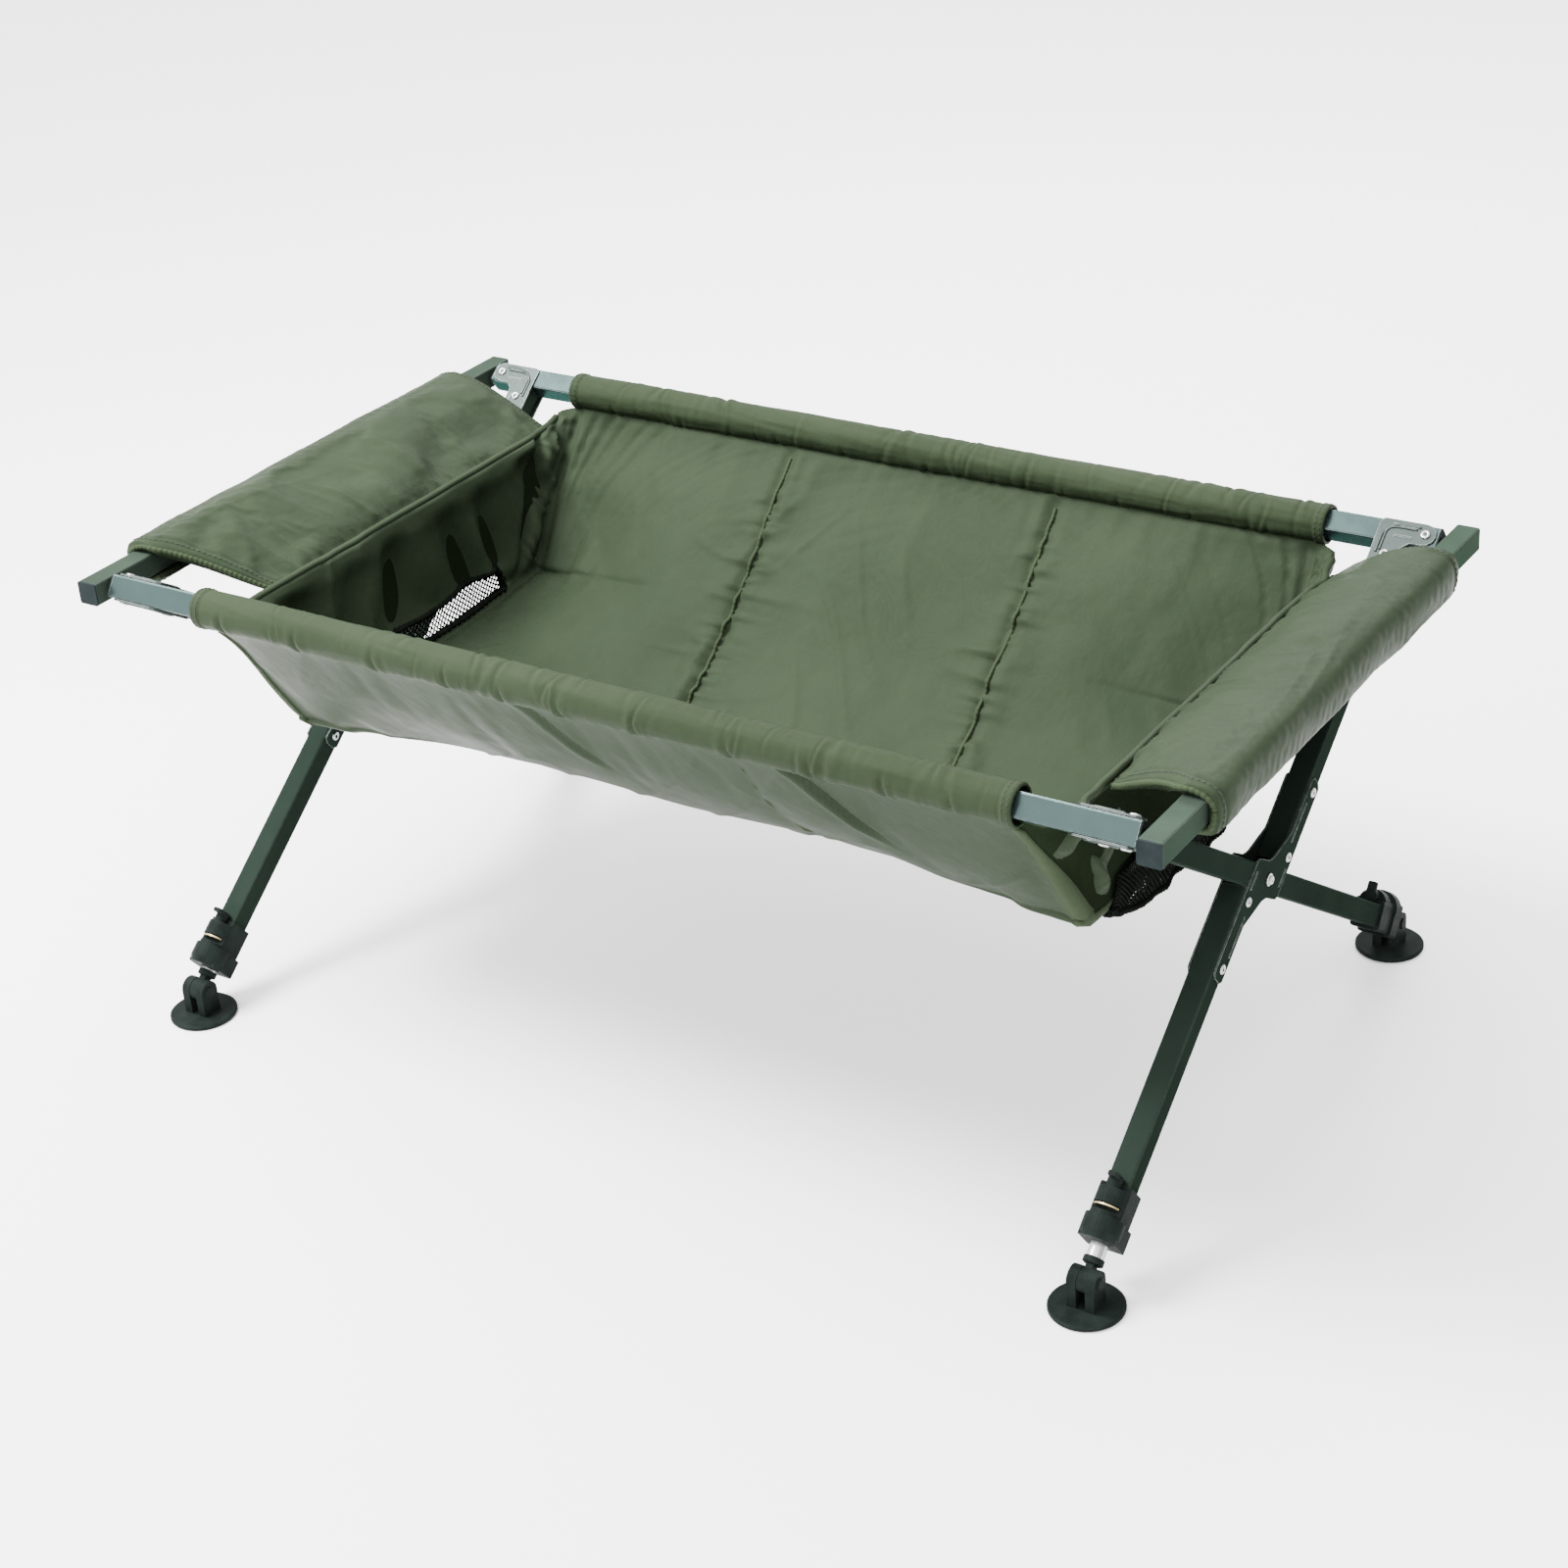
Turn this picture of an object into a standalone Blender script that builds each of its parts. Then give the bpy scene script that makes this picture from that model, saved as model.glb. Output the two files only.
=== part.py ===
"""Folding cradle: a low scissor-legged tube frame carrying a padded fabric basin.

Metres, +Z up. X runs along the length, Y across it. The frame stands on four tilting disc feet.
"""

import math

import bpy
import bmesh
from mathutils import Matrix, Vector

# ---- driving dimensions (metres, degrees) ----
TUBE = 0.025  # square tube, outside
WALL = 0.0016  # tube wall
GAP = 0.0003  # clearance between separate pieces
HALF_LENGTH = 0.635  # to the outer faces of the end bars
BAR_OVERHANG = 0.0275  # end bar past each side rail's centre
RAIL_HALF_SPAN = 0.3316  # centre line of a side rail from the middle
RAIL_Z = 0.502  # height of both side rails and end bars, at their centres
RAIL_HALF = 0.6035  # half length of a side rail's tube
LEG_X = 0.5565  # plane of the crossing legs
ANGLE_A = 34.6  # slope of the legs under the near rail
ANGLE_B = 37.6  # slope of the legs under the far rail
LEG_SPACING = 0.027  # each half of a B leg lies this far from the pivot, beside the A leg
KNUCKLE_Z = 0.032  # foot joint above the ground
DISC_R = 0.0375
DISC_T = 0.005
HOUSING_FOOT = 0.024  # housing's lower end, from the foot joint along the leg
DRAWN_OUT = 0.012  # the near right stem stands this far out of its housing
STEM_R = 0.009
STEM_LENGTH = 0.150
STUD_R = 0.006
PLATE_T = 0.0018
SLEEVE_HALF = 0.484  # half length of a padded side sleeve
SLEEVE_R = 0.021
BOLSTER_HALF = 0.272  # half width of the padding over an end bar

FRAME_GREEN = (0.150, 0.190, 0.155)
RAIL_GREY = (0.260, 0.310, 0.300)
CAP_GREY = (0.035, 0.050, 0.048)
BLACK = (0.022, 0.027, 0.026)
STEEL = (0.620, 0.630, 0.610)
BRASS = (0.560, 0.470, 0.250)
OLIVE = (0.105, 0.145, 0.085)
MESH_BLACK = (0.015, 0.018, 0.015)


def slope(degrees):
    return math.cos(math.radians(degrees)), math.sin(math.radians(degrees))


CA, SA = slope(ANGLE_A)
CB, SB = slope(ANGLE_B)
# Along the A leg from the near rail, the pivot is where the B leg's upper half is LEG_SPACING away.
A_PIVOT = (2 * RAIL_HALF_SPAN * SB - LEG_SPACING) / (CA * SB + SA * CB)
PIVOT_Y0 = -RAIL_HALF_SPAN + A_PIVOT * CA
PIVOT_Z = RAIL_Z - A_PIVOT * SA
B_BELOW = (PIVOT_Z + LEG_SPACING * CB - KNUCKLE_Z) / SB
FOOT_A_Y0 = -RAIL_HALF_SPAN + (RAIL_Z - KNUCKLE_Z) * CA / SA
FOOT_B_Y0 = PIVOT_Y0 - LEG_SPACING * SB - B_BELOW * CB
SHIFT = -(FOOT_A_Y0 + FOOT_B_Y0) / 2  # puts the middle of the footprint on Y = 0
NEAR_Y = -RAIL_HALF_SPAN + SHIFT
FAR_Y = RAIL_HALF_SPAN + SHIFT
PIVOT_Y = PIVOT_Y0 + SHIFT
FOOT_A_Y = FOOT_A_Y0 + SHIFT
FOOT_B_Y = FOOT_B_Y0 + SHIFT
A_LENGTH = (RAIL_Z - KNUCKLE_Z) / SA
BAR_LOW = NEAR_Y - BAR_OVERHANG
BAR_HIGH = FAR_Y + BAR_OVERHANG


def clear_scene():
    for obj in list(bpy.data.objects):
        bpy.data.objects.remove(obj, do_unlink=True)


def frame_at(origin, x_axis, y_axis):
    """A right-handed frame: its third axis is x_axis cross y_axis."""
    x = Vector(x_axis).normalized()
    y = Vector(y_axis).normalized()
    z = x.cross(y)
    m = Matrix((x, y, z)).transposed().to_4x4()
    m.translation = Vector(origin)
    return m


def new_object(name, verts, faces):
    mesh = bpy.data.meshes.new(name)
    mesh.from_pydata([tuple(v) for v in verts], [], faces)
    bm = bmesh.new()
    bm.from_mesh(mesh)
    bmesh.ops.recalc_face_normals(bm, faces=bm.faces)
    bm.to_mesh(mesh)
    bm.free()
    obj = bpy.data.objects.new(name, mesh)
    bpy.context.scene.collection.objects.link(obj)
    return obj


def prism(name, outline, low, high, frame):
    """A flat outline in the frame's first two axes, from low to high along its third."""
    count = len(outline)
    verts = [frame @ Vector((p, q, low)) for p, q in outline]
    verts += [frame @ Vector((p, q, high)) for p, q in outline]
    faces = [tuple(reversed(range(count))), tuple(range(count, 2 * count))]
    faces += [(i, (i + 1) % count, count + (i + 1) % count, count + i) for i in range(count)]
    return new_object(name, verts, faces)


def pipe(name, outer, inner, low, high, frame):
    """A hollow section between two outlines with the same number of points."""
    count = len(outer)
    verts = []
    for level in (low, high):
        verts += [frame @ Vector((p, q, level)) for p, q in outer]
        verts += [frame @ Vector((p, q, level)) for p, q in inner]
    faces = []
    for i in range(count):
        j = (i + 1) % count
        a, b, c, d = 0, count, 2 * count, 3 * count
        faces.append((a + i, a + j, c + j, c + i))
        faces.append((b + j, b + i, d + i, d + j))
        faces.append((a + j, a + i, b + i, b + j))
        faces.append((c + i, c + j, d + j, d + i))
    return new_object(name, verts, faces)


def square(half, radius=0.0, steps=3, half_q=None):
    """A square or rectangular outline with rounded corners."""
    half_q = half if half_q is None else half_q
    if radius <= 0:
        return [(-half, -half_q), (half, -half_q), (half, half_q), (-half, half_q)]
    points = []
    for k, (sp, sq) in enumerate(((1, -1), (1, 1), (-1, 1), (-1, -1))):
        for s in range(steps):
            turn = math.radians(-90 + 90 * k + 90 * s / (steps - 1))
            p = sp * (half - radius) + radius * math.cos(turn)
            q = sq * (half_q - radius) + radius * math.sin(turn)
            points.append((p, q))
    return points


def circle(radius, sides=24, centre=(0.0, 0.0)):
    turn = 2 * math.pi / sides
    p, q = centre
    return [(p + radius * math.cos(turn * i), q + radius * math.sin(turn * i)) for i in range(sides)]


def lathe(name, profile, frame, sides=24):
    """Turns (radius, height) pairs about the frame's third axis; the ends are closed."""
    verts = []
    for radius, height in profile:
        verts += [frame @ Vector((p, q, height)) for p, q in circle(radius, sides)]
    faces = [tuple(reversed(range(sides)))]
    last = (len(profile) - 1) * sides
    faces.append(tuple(range(last, last + sides)))
    for k in range(len(profile) - 1):
        a = k * sides
        for i in range(sides):
            j = (i + 1) % sides
            faces.append((a + i, a + j, a + sides + j, a + sides + i))
    return new_object(name, verts, faces)


def combine(obj, others, operation):
    """Joins, cuts or crops obj with each of the others, which are then removed."""
    for other in others:
        modifier = obj.modifiers.new("join", "BOOLEAN")
        modifier.operation = operation
        modifier.solver = "EXACT"
        modifier.object = other
        bpy.context.view_layer.update()
        graph = bpy.context.evaluated_depsgraph_get()
        result = bpy.data.meshes.new_from_object(obj.evaluated_get(graph))
        obj.modifiers.clear()
        obj.data = result
        bpy.data.objects.remove(other, do_unlink=True)
    return obj


def paint(obj, colour, metallic=0.0, roughness=0.5):
    material = bpy.data.materials.new(obj.name)
    material.use_nodes = True
    shader = material.node_tree.nodes["Principled BSDF"]
    shader.inputs["Base Color"].default_value = (*colour, 1.0)
    shader.inputs["Metallic"].default_value = metallic
    shader.inputs["Roughness"].default_value = roughness
    obj.data.materials.clear()
    obj.data.materials.append(material)
    return obj


def hang_on(empty_name, location, objects):
    """An empty on a joint's axis, holding the pieces that move with it."""
    empty = bpy.data.objects.new(empty_name, None)
    bpy.context.scene.collection.objects.link(empty)
    empty.location = location
    bpy.context.view_layer.update()
    for obj in objects:
        obj.parent = empty
        obj.matrix_parent_inverse = empty.matrix_world.inverted()
    return empty


# ---- frames of reference ----
def leg_b_frame(side):
    """At the foot joint of a B leg: X along the object, Y up the leg, Z to its upper near face."""
    return frame_at((side * LEG_X, FOOT_B_Y, KNUCKLE_Z), (1, 0, 0), (0, CB, SB))


def leg_a_frame(side):
    """At the foot joint of an A leg, turned half round, so that Z is its upper far face."""
    return frame_at((side * LEG_X, FOOT_A_Y, KNUCKLE_Z), (-1, 0, 0), (0, -CA, SA))


def pivot_frame(side):
    """At the scissor pivot, lined up with the B leg."""
    return frame_at((side * LEG_X, PIVOT_Y, PIVOT_Z), (1, 0, 0), (0, CB, SB))


def along(frame, x, up, out):
    """A frame moved within itself, whose third axis points along the leg."""
    origin = frame @ Vector((x, up, out))
    axes = frame.to_3x3()
    return frame_at(origin, axes @ Vector((0, 0, 1)), axes @ Vector((1, 0, 0)))


def leg_tube(name, frame, low, high, out=0.0):
    """A square tube along a leg, from low to high above the foot joint."""
    outer = square(TUBE / 2, 0.0022)
    inner = square(TUBE / 2 - WALL, 0.0008)
    return pipe(name, outer, inner, low, high, along(frame, 0, 0, out))


def rail_frame(y, roll):
    """Along a side rail, rolled square with its own legs."""
    c, s = slope(roll)
    return frame_at((0, y, RAIL_Z), (0, c, s), (0, -s, c))


def side_rail(name, y, roll):
    outer = square(TUBE / 2, 0.0022)
    inner = square(TUBE / 2 - WALL, 0.0008)
    obj = pipe(name, outer, inner, -RAIL_HALF, RAIL_HALF, rail_frame(y, roll))
    return paint(obj, RAIL_GREY, 0.3, 0.4)


def rail_plug(name, side, y, roll, reach):
    """A moulded plug closing a rail's end, with the round stud that the end bar sits on."""
    frame = rail_frame(y, roll) @ Matrix.Scale(1.0, 4)
    if side < 0:
        frame = frame @ Matrix.Rotation(math.pi, 4, "X")
    flange = prism(name, square(TUBE / 2, 0.0022), RAIL_HALF + GAP, RAIL_HALF + 0.0018, frame)
    stub_half = TUBE / 2 - WALL - GAP
    stub = prism("stub", square(stub_half, 0.001), RAIL_HALF - 0.018, RAIL_HALF + 0.001, frame)
    stud = lathe("stud", [(STUD_R, RAIL_HALF + 0.001), (STUD_R, reach)], frame, 20)
    combine(flange, [stub, stud], "UNION")
    return paint(flange, BLACK, 0.0, 0.45)


def rivet(frame, p, q, level, up=1):
    """A domed rivet head standing on a plate's outer face."""
    place = frame @ Matrix.Translation((p, q, level))
    profile = [(0.0045, -0.0006 * up), (0.0045, 0.0006 * up), (0.0034, 0.0013 * up), (0.0016, 0.0016 * up)]
    return lathe("rivet", profile, place, 12)


def corner_outline():
    """An L: one arm along the rail with a rounded end, one arm down the leg. Origin: rail centre."""
    inner = LEG_X - 0.0162
    end = LEG_X + 0.0455
    w = 0.0122
    points = [(inner + 0.004, -w), (end - w, -w)]
    for k in range(1, 6):
        turn = math.radians(-90 + 30 * k)
        points.append((end - w + w * math.cos(turn), w * math.sin(turn)))
    points += [(end - w, w), (LEG_X + 0.021, w), (LEG_X + 0.0135, w + 0.007), (LEG_X + 0.0125, 0.046)]
    points += [(LEG_X + 0.008, 0.052), (LEG_X - 0.010, 0.052), (inner, 0.046), (inner, -w + 0.004)]
    return points


def corner_plate(name, side, y, roll, near, outer_face):
    """A pressed L-shaped plate that ties a rail to the top of its leg."""
    c, s = slope(roll)
    down = (0, c, -s) if near else (0, -c, -s)
    across = Vector((side, 0, 0))
    frame = frame_at((0, y, RAIL_Z), across, down)
    face_up = frame.to_3x3() @ Vector((0, 0, 1))
    up = 1 if face_up.z > 0 else -1
    up = up if outer_face else -up
    base = TUBE / 2 + GAP
    levels = sorted((up * base, up * (base + PLATE_T)))
    plate = prism(name, corner_outline(), levels[0], levels[1], frame)
    top = up * (base + PLATE_T)
    extras = [rivet(frame, LEG_X + 0.0345, 0.0, top, up), rivet(frame, LEG_X, 0.029, top, up)]
    ribs = (
        square(0.0135, 0.0009, 3, 0.0012),
        square(0.0012, 0.0009, 3, 0.0090),
    )
    places = ((LEG_X + 0.012, -0.0062), (LEG_X + 0.0070, 0.0360))
    for outline, (p, q) in zip(ribs, places):
        moved = [(a + p, b + q) for a, b in outline]
        low, high = sorted((top - up * 0.0004, top + up * 0.0009))
        extras.append(prism("rib", moved, low, high, frame))
    second = [(a + LEG_X + 0.012, b + 0.0062) for a, b in square(0.0095, 0.0009, 3, 0.0012)]
    low, high = sorted((top - up * 0.0004, top + up * 0.0009))
    extras.append(prism("rib", second, low, high, frame))
    combine(plate, extras, "UNION")
    return paint(plate, FRAME_GREEN, 0.4, 0.38)


def scissor_outline():
    """Half of the Z-shaped pivot plate, in (along the leg, across it); the other half is its turn by 180."""
    half = [(0.1225, -0.0335), (0.1225, -0.0205), (0.1185, -0.0155), (0.058, -0.0150)]
    half += [(0.022, 0.0050), (0.0150, 0.0125), (0.0065, 0.0355), (0.0015, 0.0392)]
    rest = [(-p, -q) for p, q in half]
    # Each half ends where the other begins, down the long straight edges.
    top = [(0.1185, -0.0392)]
    low = [(-0.1185, 0.0392)]
    return half + low + rest + top


def scissor_plate(name, side, outer_face):
    """One of the two plates that hold a B leg's halves beside the A leg."""
    up = side if outer_face else -side
    centre = pivot_frame(side)
    axes = centre.to_3x3()
    frame = frame_at(centre.translation, axes @ Vector((0, 1, 0)), axes @ Vector((0, 0, 1)))
    base = TUBE / 2 + GAP
    levels = sorted((up * base, up * (base + PLATE_T)))
    plate = prism(name, scissor_outline(), levels[0], levels[1], frame)
    top = up * (base + PLATE_T)
    spots = ((0.1095, -LEG_SPACING), (0.0370, -LEG_SPACING))
    extras = []
    for p, q in spots:
        extras.append(rivet(frame, p, q, top, up))
        extras.append(rivet(frame, -p, -q, top, up))
    low, high = sorted((top - up * 0.0004, top + up * 0.0009))
    for sign in (1, -1):
        outline = [(sign * (a + 0.073), sign * (b - 0.0215)) for a, b in square(0.022, 0.0009, 3, 0.0012)]
        extras.append(prism("rib", outline, low, high, frame))
        outline = [(sign * (a + 0.016), sign * (b - 0.0320)) for a, b in square(0.010, 0.0009, 3, 0.0012)]
        extras.append(prism("rib", outline, low, high, frame))
    combine(plate, extras, "UNION")
    low, high = sorted((up * (base - 0.002), up * (base + 0.006)))
    combine(plate, [prism("hole", circle(0.0043, 20), low, high, frame)], "DIFFERENCE")
    return paint(plate, FRAME_GREEN, 0.4, 0.38)


def pivot_bolt(name, side):
    """The shouldered bolt through both plates and the A leg."""
    frame = frame_at((side * LEG_X, PIVOT_Y, PIVOT_Z), (0, 1, 0), (0, 0, 1))
    reach = TUBE / 2 + 2 * GAP + PLATE_T
    profile = [(0.0045, -reach - 0.0026), (0.0065, -reach - 0.0018), (0.0065, -reach), (0.0040, -reach)]
    profile += [(0.0040, reach), (0.0065, reach), (0.0065, reach + 0.0018), (0.0045, reach + 0.0026)]
    return paint(lathe(name, profile, frame, 20), STEEL, 0.9, 0.3)


def near_leg(name, side):
    """A leg under the near rail, drilled for the pivot bolt."""
    frame = leg_a_frame(side)
    obj = leg_tube(name, frame, HOUSING_FOOT + 0.017, A_LENGTH - TUBE / 2 - GAP)
    hole_frame = frame_at((side * LEG_X, PIVOT_Y, PIVOT_Z), (0, 1, 0), (0, 0, 1))
    combine(obj, [prism("hole", circle(0.0043, 20), -0.03, 0.03, hole_frame)], "DIFFERENCE")
    return paint(obj, FRAME_GREEN, 0.3, 0.42)


def far_upper_leg(name, side):
    """The upper half of a B leg, from the far rail to just above the crossing A leg."""
    reach = (RAIL_Z - PIVOT_Z - LEG_SPACING * -CB) / SB
    top = reach - TUBE / 2 - GAP
    obj = leg_tube(name, pivot_frame(side), 0.0275, top, -LEG_SPACING)
    return paint(obj, FRAME_GREEN, 0.3, 0.42)


def far_lower_leg(name, side, drawn):
    """The lower half of a B leg, down into its foot housing."""
    low = -B_BELOW + HOUSING_FOOT + 0.017 + drawn
    obj = leg_tube(name, pivot_frame(side), low, -0.0275, LEG_SPACING)
    return paint(obj, FRAME_GREEN, 0.3, 0.42)


# ---- feet ----
def foot_housing(name, frame, drawn):
    """The moulded housing at a leg's foot: square socket, round lock tower, skirt, collar and tab."""
    low = HOUSING_FOOT + drawn
    body = prism(name, square(0.0165, 0.003), low + 0.0153, low + 0.056, along(frame, 0, 0, 0))
    skirt_profile = [(0.0165, low), (0.0200, low + 0.007), (0.0200, low + 0.0225)]
    skirt = lathe("skirt", skirt_profile, along(frame, 0, 0, 0.0097), 28)
    back = square(0.0190, 0.003)
    base = prism("base", back, low + 0.0007, low + 0.0217, along(frame, 0, 0, -0.0005))
    tower = lathe("tower", [(0.0160, low + 0.0137), (0.0160, low + 0.0504)], along(frame, 0, 0, 0.0120), 28)
    collar = lathe("collar", [(0.0070, low + 0.044), (0.0070, low + 0.0617)], along(frame, 0, 0, 0.0203), 22)
    tab = prism("tab", square(0.0105, 0.002, 3, 0.0050), low + 0.0590, low + 0.0631, along(frame, 0, 0, 0.0243))
    combine(body, [skirt, base, tower, collar, tab], "UNION")
    socket = prism("socket", square(TUBE / 2 + GAP, 0.002), low + 0.016, low + 0.080, along(frame, 0, 0, 0))
    bore = prism("bore", circle(STEM_R + 0.0004, 24), low - 0.01, low + 0.020, along(frame, 0, 0, 0))
    slot = prism("slot", square(0.0080, 0, 3, 0.0150), low + 0.0266, low + 0.0346, along(frame, 0, 0, 0.0257))
    combine(body, [socket, bore, slot], "DIFFERENCE")
    return paint(body, BLACK, 0.0, 0.42)


def lock_spring(name, frame, drawn):
    """The brass spring strip seen through the housing's slot."""
    low = HOUSING_FOOT + drawn + 0.0315
    outer, inner = [], []
    for k in range(13):
        turn = math.radians(-60 + 120 * k / 12)
        outer.append((0.0152 * math.cos(turn), 0.0152 * math.sin(turn)))
        inner.append((0.0120 * math.cos(turn), 0.0120 * math.sin(turn)))
    outline = outer + inner[::-1]
    return paint(prism(name, outline, low, low + 0.0016, along(frame, 0, 0, 0.0120)), BRASS, 0.9, 0.3)


def stem_rod(name, frame):
    """The bright rod that slides up inside the leg."""
    obj = lathe(name, [(STEM_R, 0.0223), (STEM_R, 0.0223 + STEM_LENGTH)], along(frame, 0, 0, 0), 24)
    return paint(obj, STEEL, 0.9, 0.28)


def stem_head(name, frame):
    """The moulded end of the stem: collar, neck and the eye of the foot joint."""
    eye = prism(name, circle(0.0120, 24), -0.0045, 0.0045, across_frame(frame))
    tongue = prism("tongue", square(0.0060, 0.001, 3, 0.0042), 0.0, 0.0170, along(frame, 0, 0, 0))
    collar = lathe("collar", [(0.0088, 0.0155), (0.0105, 0.0165), (0.0105, 0.0220)], along(frame, 0, 0, 0), 24)
    combine(eye, [tongue, collar], "UNION")
    combine(eye, [prism("hole", circle(0.0044, 20), -0.02, 0.02, across_frame(frame))], "DIFFERENCE")
    return paint(eye, BLACK, 0.0, 0.4)


def across_frame(frame):
    """At the foot joint with its third axis along the object."""
    return frame_at(frame.translation, (0, 1, 0), (0, 0, 1))


def foot_disc(name, frame):
    """A round ground plate with two ears and the joint's pin."""
    x, y, z = frame.translation
    ground = frame_at((x, y, 0), (1, 0, 0), (0, 1, 0))
    profile = [(DISC_R - 0.001, 0.0), (DISC_R, 0.001), (DISC_R, DISC_T - 0.0012), (DISC_R - 0.0015, DISC_T)]
    disc = lathe(name, profile, ground, 40)
    extras = []
    side = across_frame(frame)
    for low, high in ((-0.0150, -0.0050), (0.0050, 0.0140)):
        outline = [(-0.0125, 0.004 - KNUCKLE_Z), (0.0125, 0.004 - KNUCKLE_Z)]
        for k in range(13):
            turn = math.radians(180 * k / 12)
            outline.append((0.0125 * math.cos(turn), 0.0125 * math.sin(turn)))
        extras.append(prism("ear", outline, low, high, side))
    pin = [(0.0040, -0.0145), (0.0040, 0.0135), (0.0062, 0.0136), (0.0062, 0.0155), (0.0048, 0.0162)]
    extras.append(lathe("pin", pin, side, 20))
    combine(disc, extras, "UNION")
    return paint(disc, BLACK, 0.0, 0.5)


def foot(prefix, frame, drawn=0.0):
    """One foot: the housing stays with the leg; the stem slides; the disc tilts."""
    housing = foot_housing(prefix + "_housing", frame, drawn)
    spring = lock_spring(prefix + "_lock_spring", frame, drawn)
    rod = stem_rod(prefix + "_stem_rod", frame)
    head = stem_head(prefix + "_stem_head", frame)
    disc = foot_disc(prefix + "_disc", frame)
    hang_on(prefix + "_slide_axis", frame.translation, [rod, head])
    hang_on(prefix + "_tilt_axis", frame.translation, [disc])
    return housing, spring


# ---- end bars ----
def end_bar(name, side):
    """A square tube across one end: drilled for the near stud, with an open saddle under the far stud."""
    inner_face = side * (HALF_LENGTH - TUBE)
    frame = frame_at((side * (HALF_LENGTH - TUBE / 2), 0, RAIL_Z), (0, 0, 1), (1, 0, 0))
    outer = square(TUBE / 2, 0.0022)
    inner = square(TUBE / 2 - WALL, 0.0008)
    bar = pipe(name, outer, inner, BAR_LOW + 0.0023, BAR_HIGH - 0.0023, frame)
    hinge = frame_at((inner_face, NEAR_Y, RAIL_Z), (0, 1, 0), (0, 0, 1))
    combine(bar, [prism("hole", circle(STUD_R + 0.0004, 24), -0.006, 0.006, hinge)], "DIFFERENCE")
    seat = STUD_R + 0.0008
    outline = []
    for k in range(13):
        turn = math.radians(195 + 150 * k / 12)
        outline.append((seat * math.cos(turn), seat * math.sin(turn)))
    for k in range(13):
        turn = math.radians(345 - 150 * k / 12)
        outline.append((0.0110 * math.cos(turn), 0.0110 * math.sin(turn)))
    saddle_frame = frame_at((inner_face, FAR_Y, RAIL_Z), (0, 1, 0), (0, 0, 1))
    low, high = sorted((-side * 0.0034, side * 0.0008))
    combine(bar, [prism("saddle", outline, low, high, saddle_frame)], "UNION")
    return paint(bar, FRAME_GREEN, 0.3, 0.42)


def bar_cap(name, side, end):
    """A flush moulded cap in an end bar's open end."""
    y = BAR_LOW if end < 0 else BAR_HIGH
    frame = frame_at((side * (HALF_LENGTH - TUBE / 2), y, RAIL_Z), (0, 0, 1), (1, 0, 0))
    low, high = sorted((0.0, -end * 0.0020))
    face = prism(name, square(TUBE / 2, 0.0022), low, high, frame)
    stub_half = TUBE / 2 - WALL - GAP
    low, high = sorted((-end * 0.0015, -end * 0.0160))
    combine(face, [prism("stub", square(stub_half, 0.001), low, high, frame)], "UNION")
    return paint(face, CAP_GREY, 0.0, 0.5)


# ---- fabric ----
def sleeve(name, y):
    """The padded tube of fabric round a side rail."""
    frame = frame_at((0, y, RAIL_Z), (0, 1, 0), (0, 0, 1))
    obj = pipe(name, circle(SLEEVE_R, 28), circle(0.0180, 28), -SLEEVE_HALF, SLEEVE_HALF, frame)
    return paint(obj, OLIVE, 0.0, 0.6)


def bolster(name, side):
    """The padding that wraps an end bar and slopes down to the basin's rim."""
    bar_in = HALF_LENGTH - TUBE
    top = RAIL_Z + TUBE / 2
    low = RAIL_Z - TUBE / 2
    g = 0.0008
    outer = [(0.5085, 0.4660), (0.5300, 0.4840), (0.5600, 0.5050), (0.5900, 0.5200), (0.6100, 0.5260)]
    outer += [(0.6280, 0.5270), (0.6400, 0.5230), (0.6455, 0.5140), (0.6460, 0.5020), (0.6450, 0.4890)]
    outer += [(0.6390, 0.4810), (0.6250, 0.4780), (0.6110, 0.4790), (0.6020, 0.4840)]
    inner = [(bar_in - g, low - g), (HALF_LENGTH + g, low - g), (HALF_LENGTH + g, top + g), (bar_in - g, top + g)]
    inner += [(0.5860, 0.5070), (0.5600, 0.4945), (0.5340, 0.4760), (0.5110, 0.4585)]
    outline = [(side * p, q) for p, q in outer + inner]
    frame = frame_at((0, 0, 0), (1, 0, 0), (0, 0, 1))
    return paint(prism(name, outline, -BOLSTER_HALF - SHIFT, BOLSTER_HALF - SHIFT, frame), OLIVE, 0.0, 0.6)


def between(table, value):
    """Straight-line interpolation in a list of (position, height) pairs."""
    for (p0, z0), (p1, z1) in zip(table, table[1:]):
        if value <= p1:
            return z0 + (z1 - z0) * (value - p0) / (p1 - p0)
    return table[-1][1]


BASIN_MIDDLE = [
    (-0.312, 0.4835), (-0.270, 0.4050), (-0.200, 0.3380), (-0.100, 0.2760), (0.000, 0.2500),
    (0.100, 0.2900), (0.200, 0.3700), (0.312, 0.4835),
]
BASIN_END = [
    (-0.312, 0.4835), (-0.250, 0.3640), (-0.200, 0.3180), (0.000, 0.3050), (0.200, 0.3180),
    (0.250, 0.3640), (0.312, 0.4835),
]
BASIN_RIM = [(-0.312, 0.4835), (-0.260, 0.4690), (0.260, 0.4690), (0.312, 0.4835)]
BASIN_X = (0.4980, 0.4920, 0.4840, 0.4740, 0.4400, 0.3800, 0.3000, 0.2200, 0.1400, 0.0600)
BASIN_Y = (-0.312, -0.295, -0.272, -0.250, -0.200, -0.150, -0.100, -0.050, 0.0)


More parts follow.
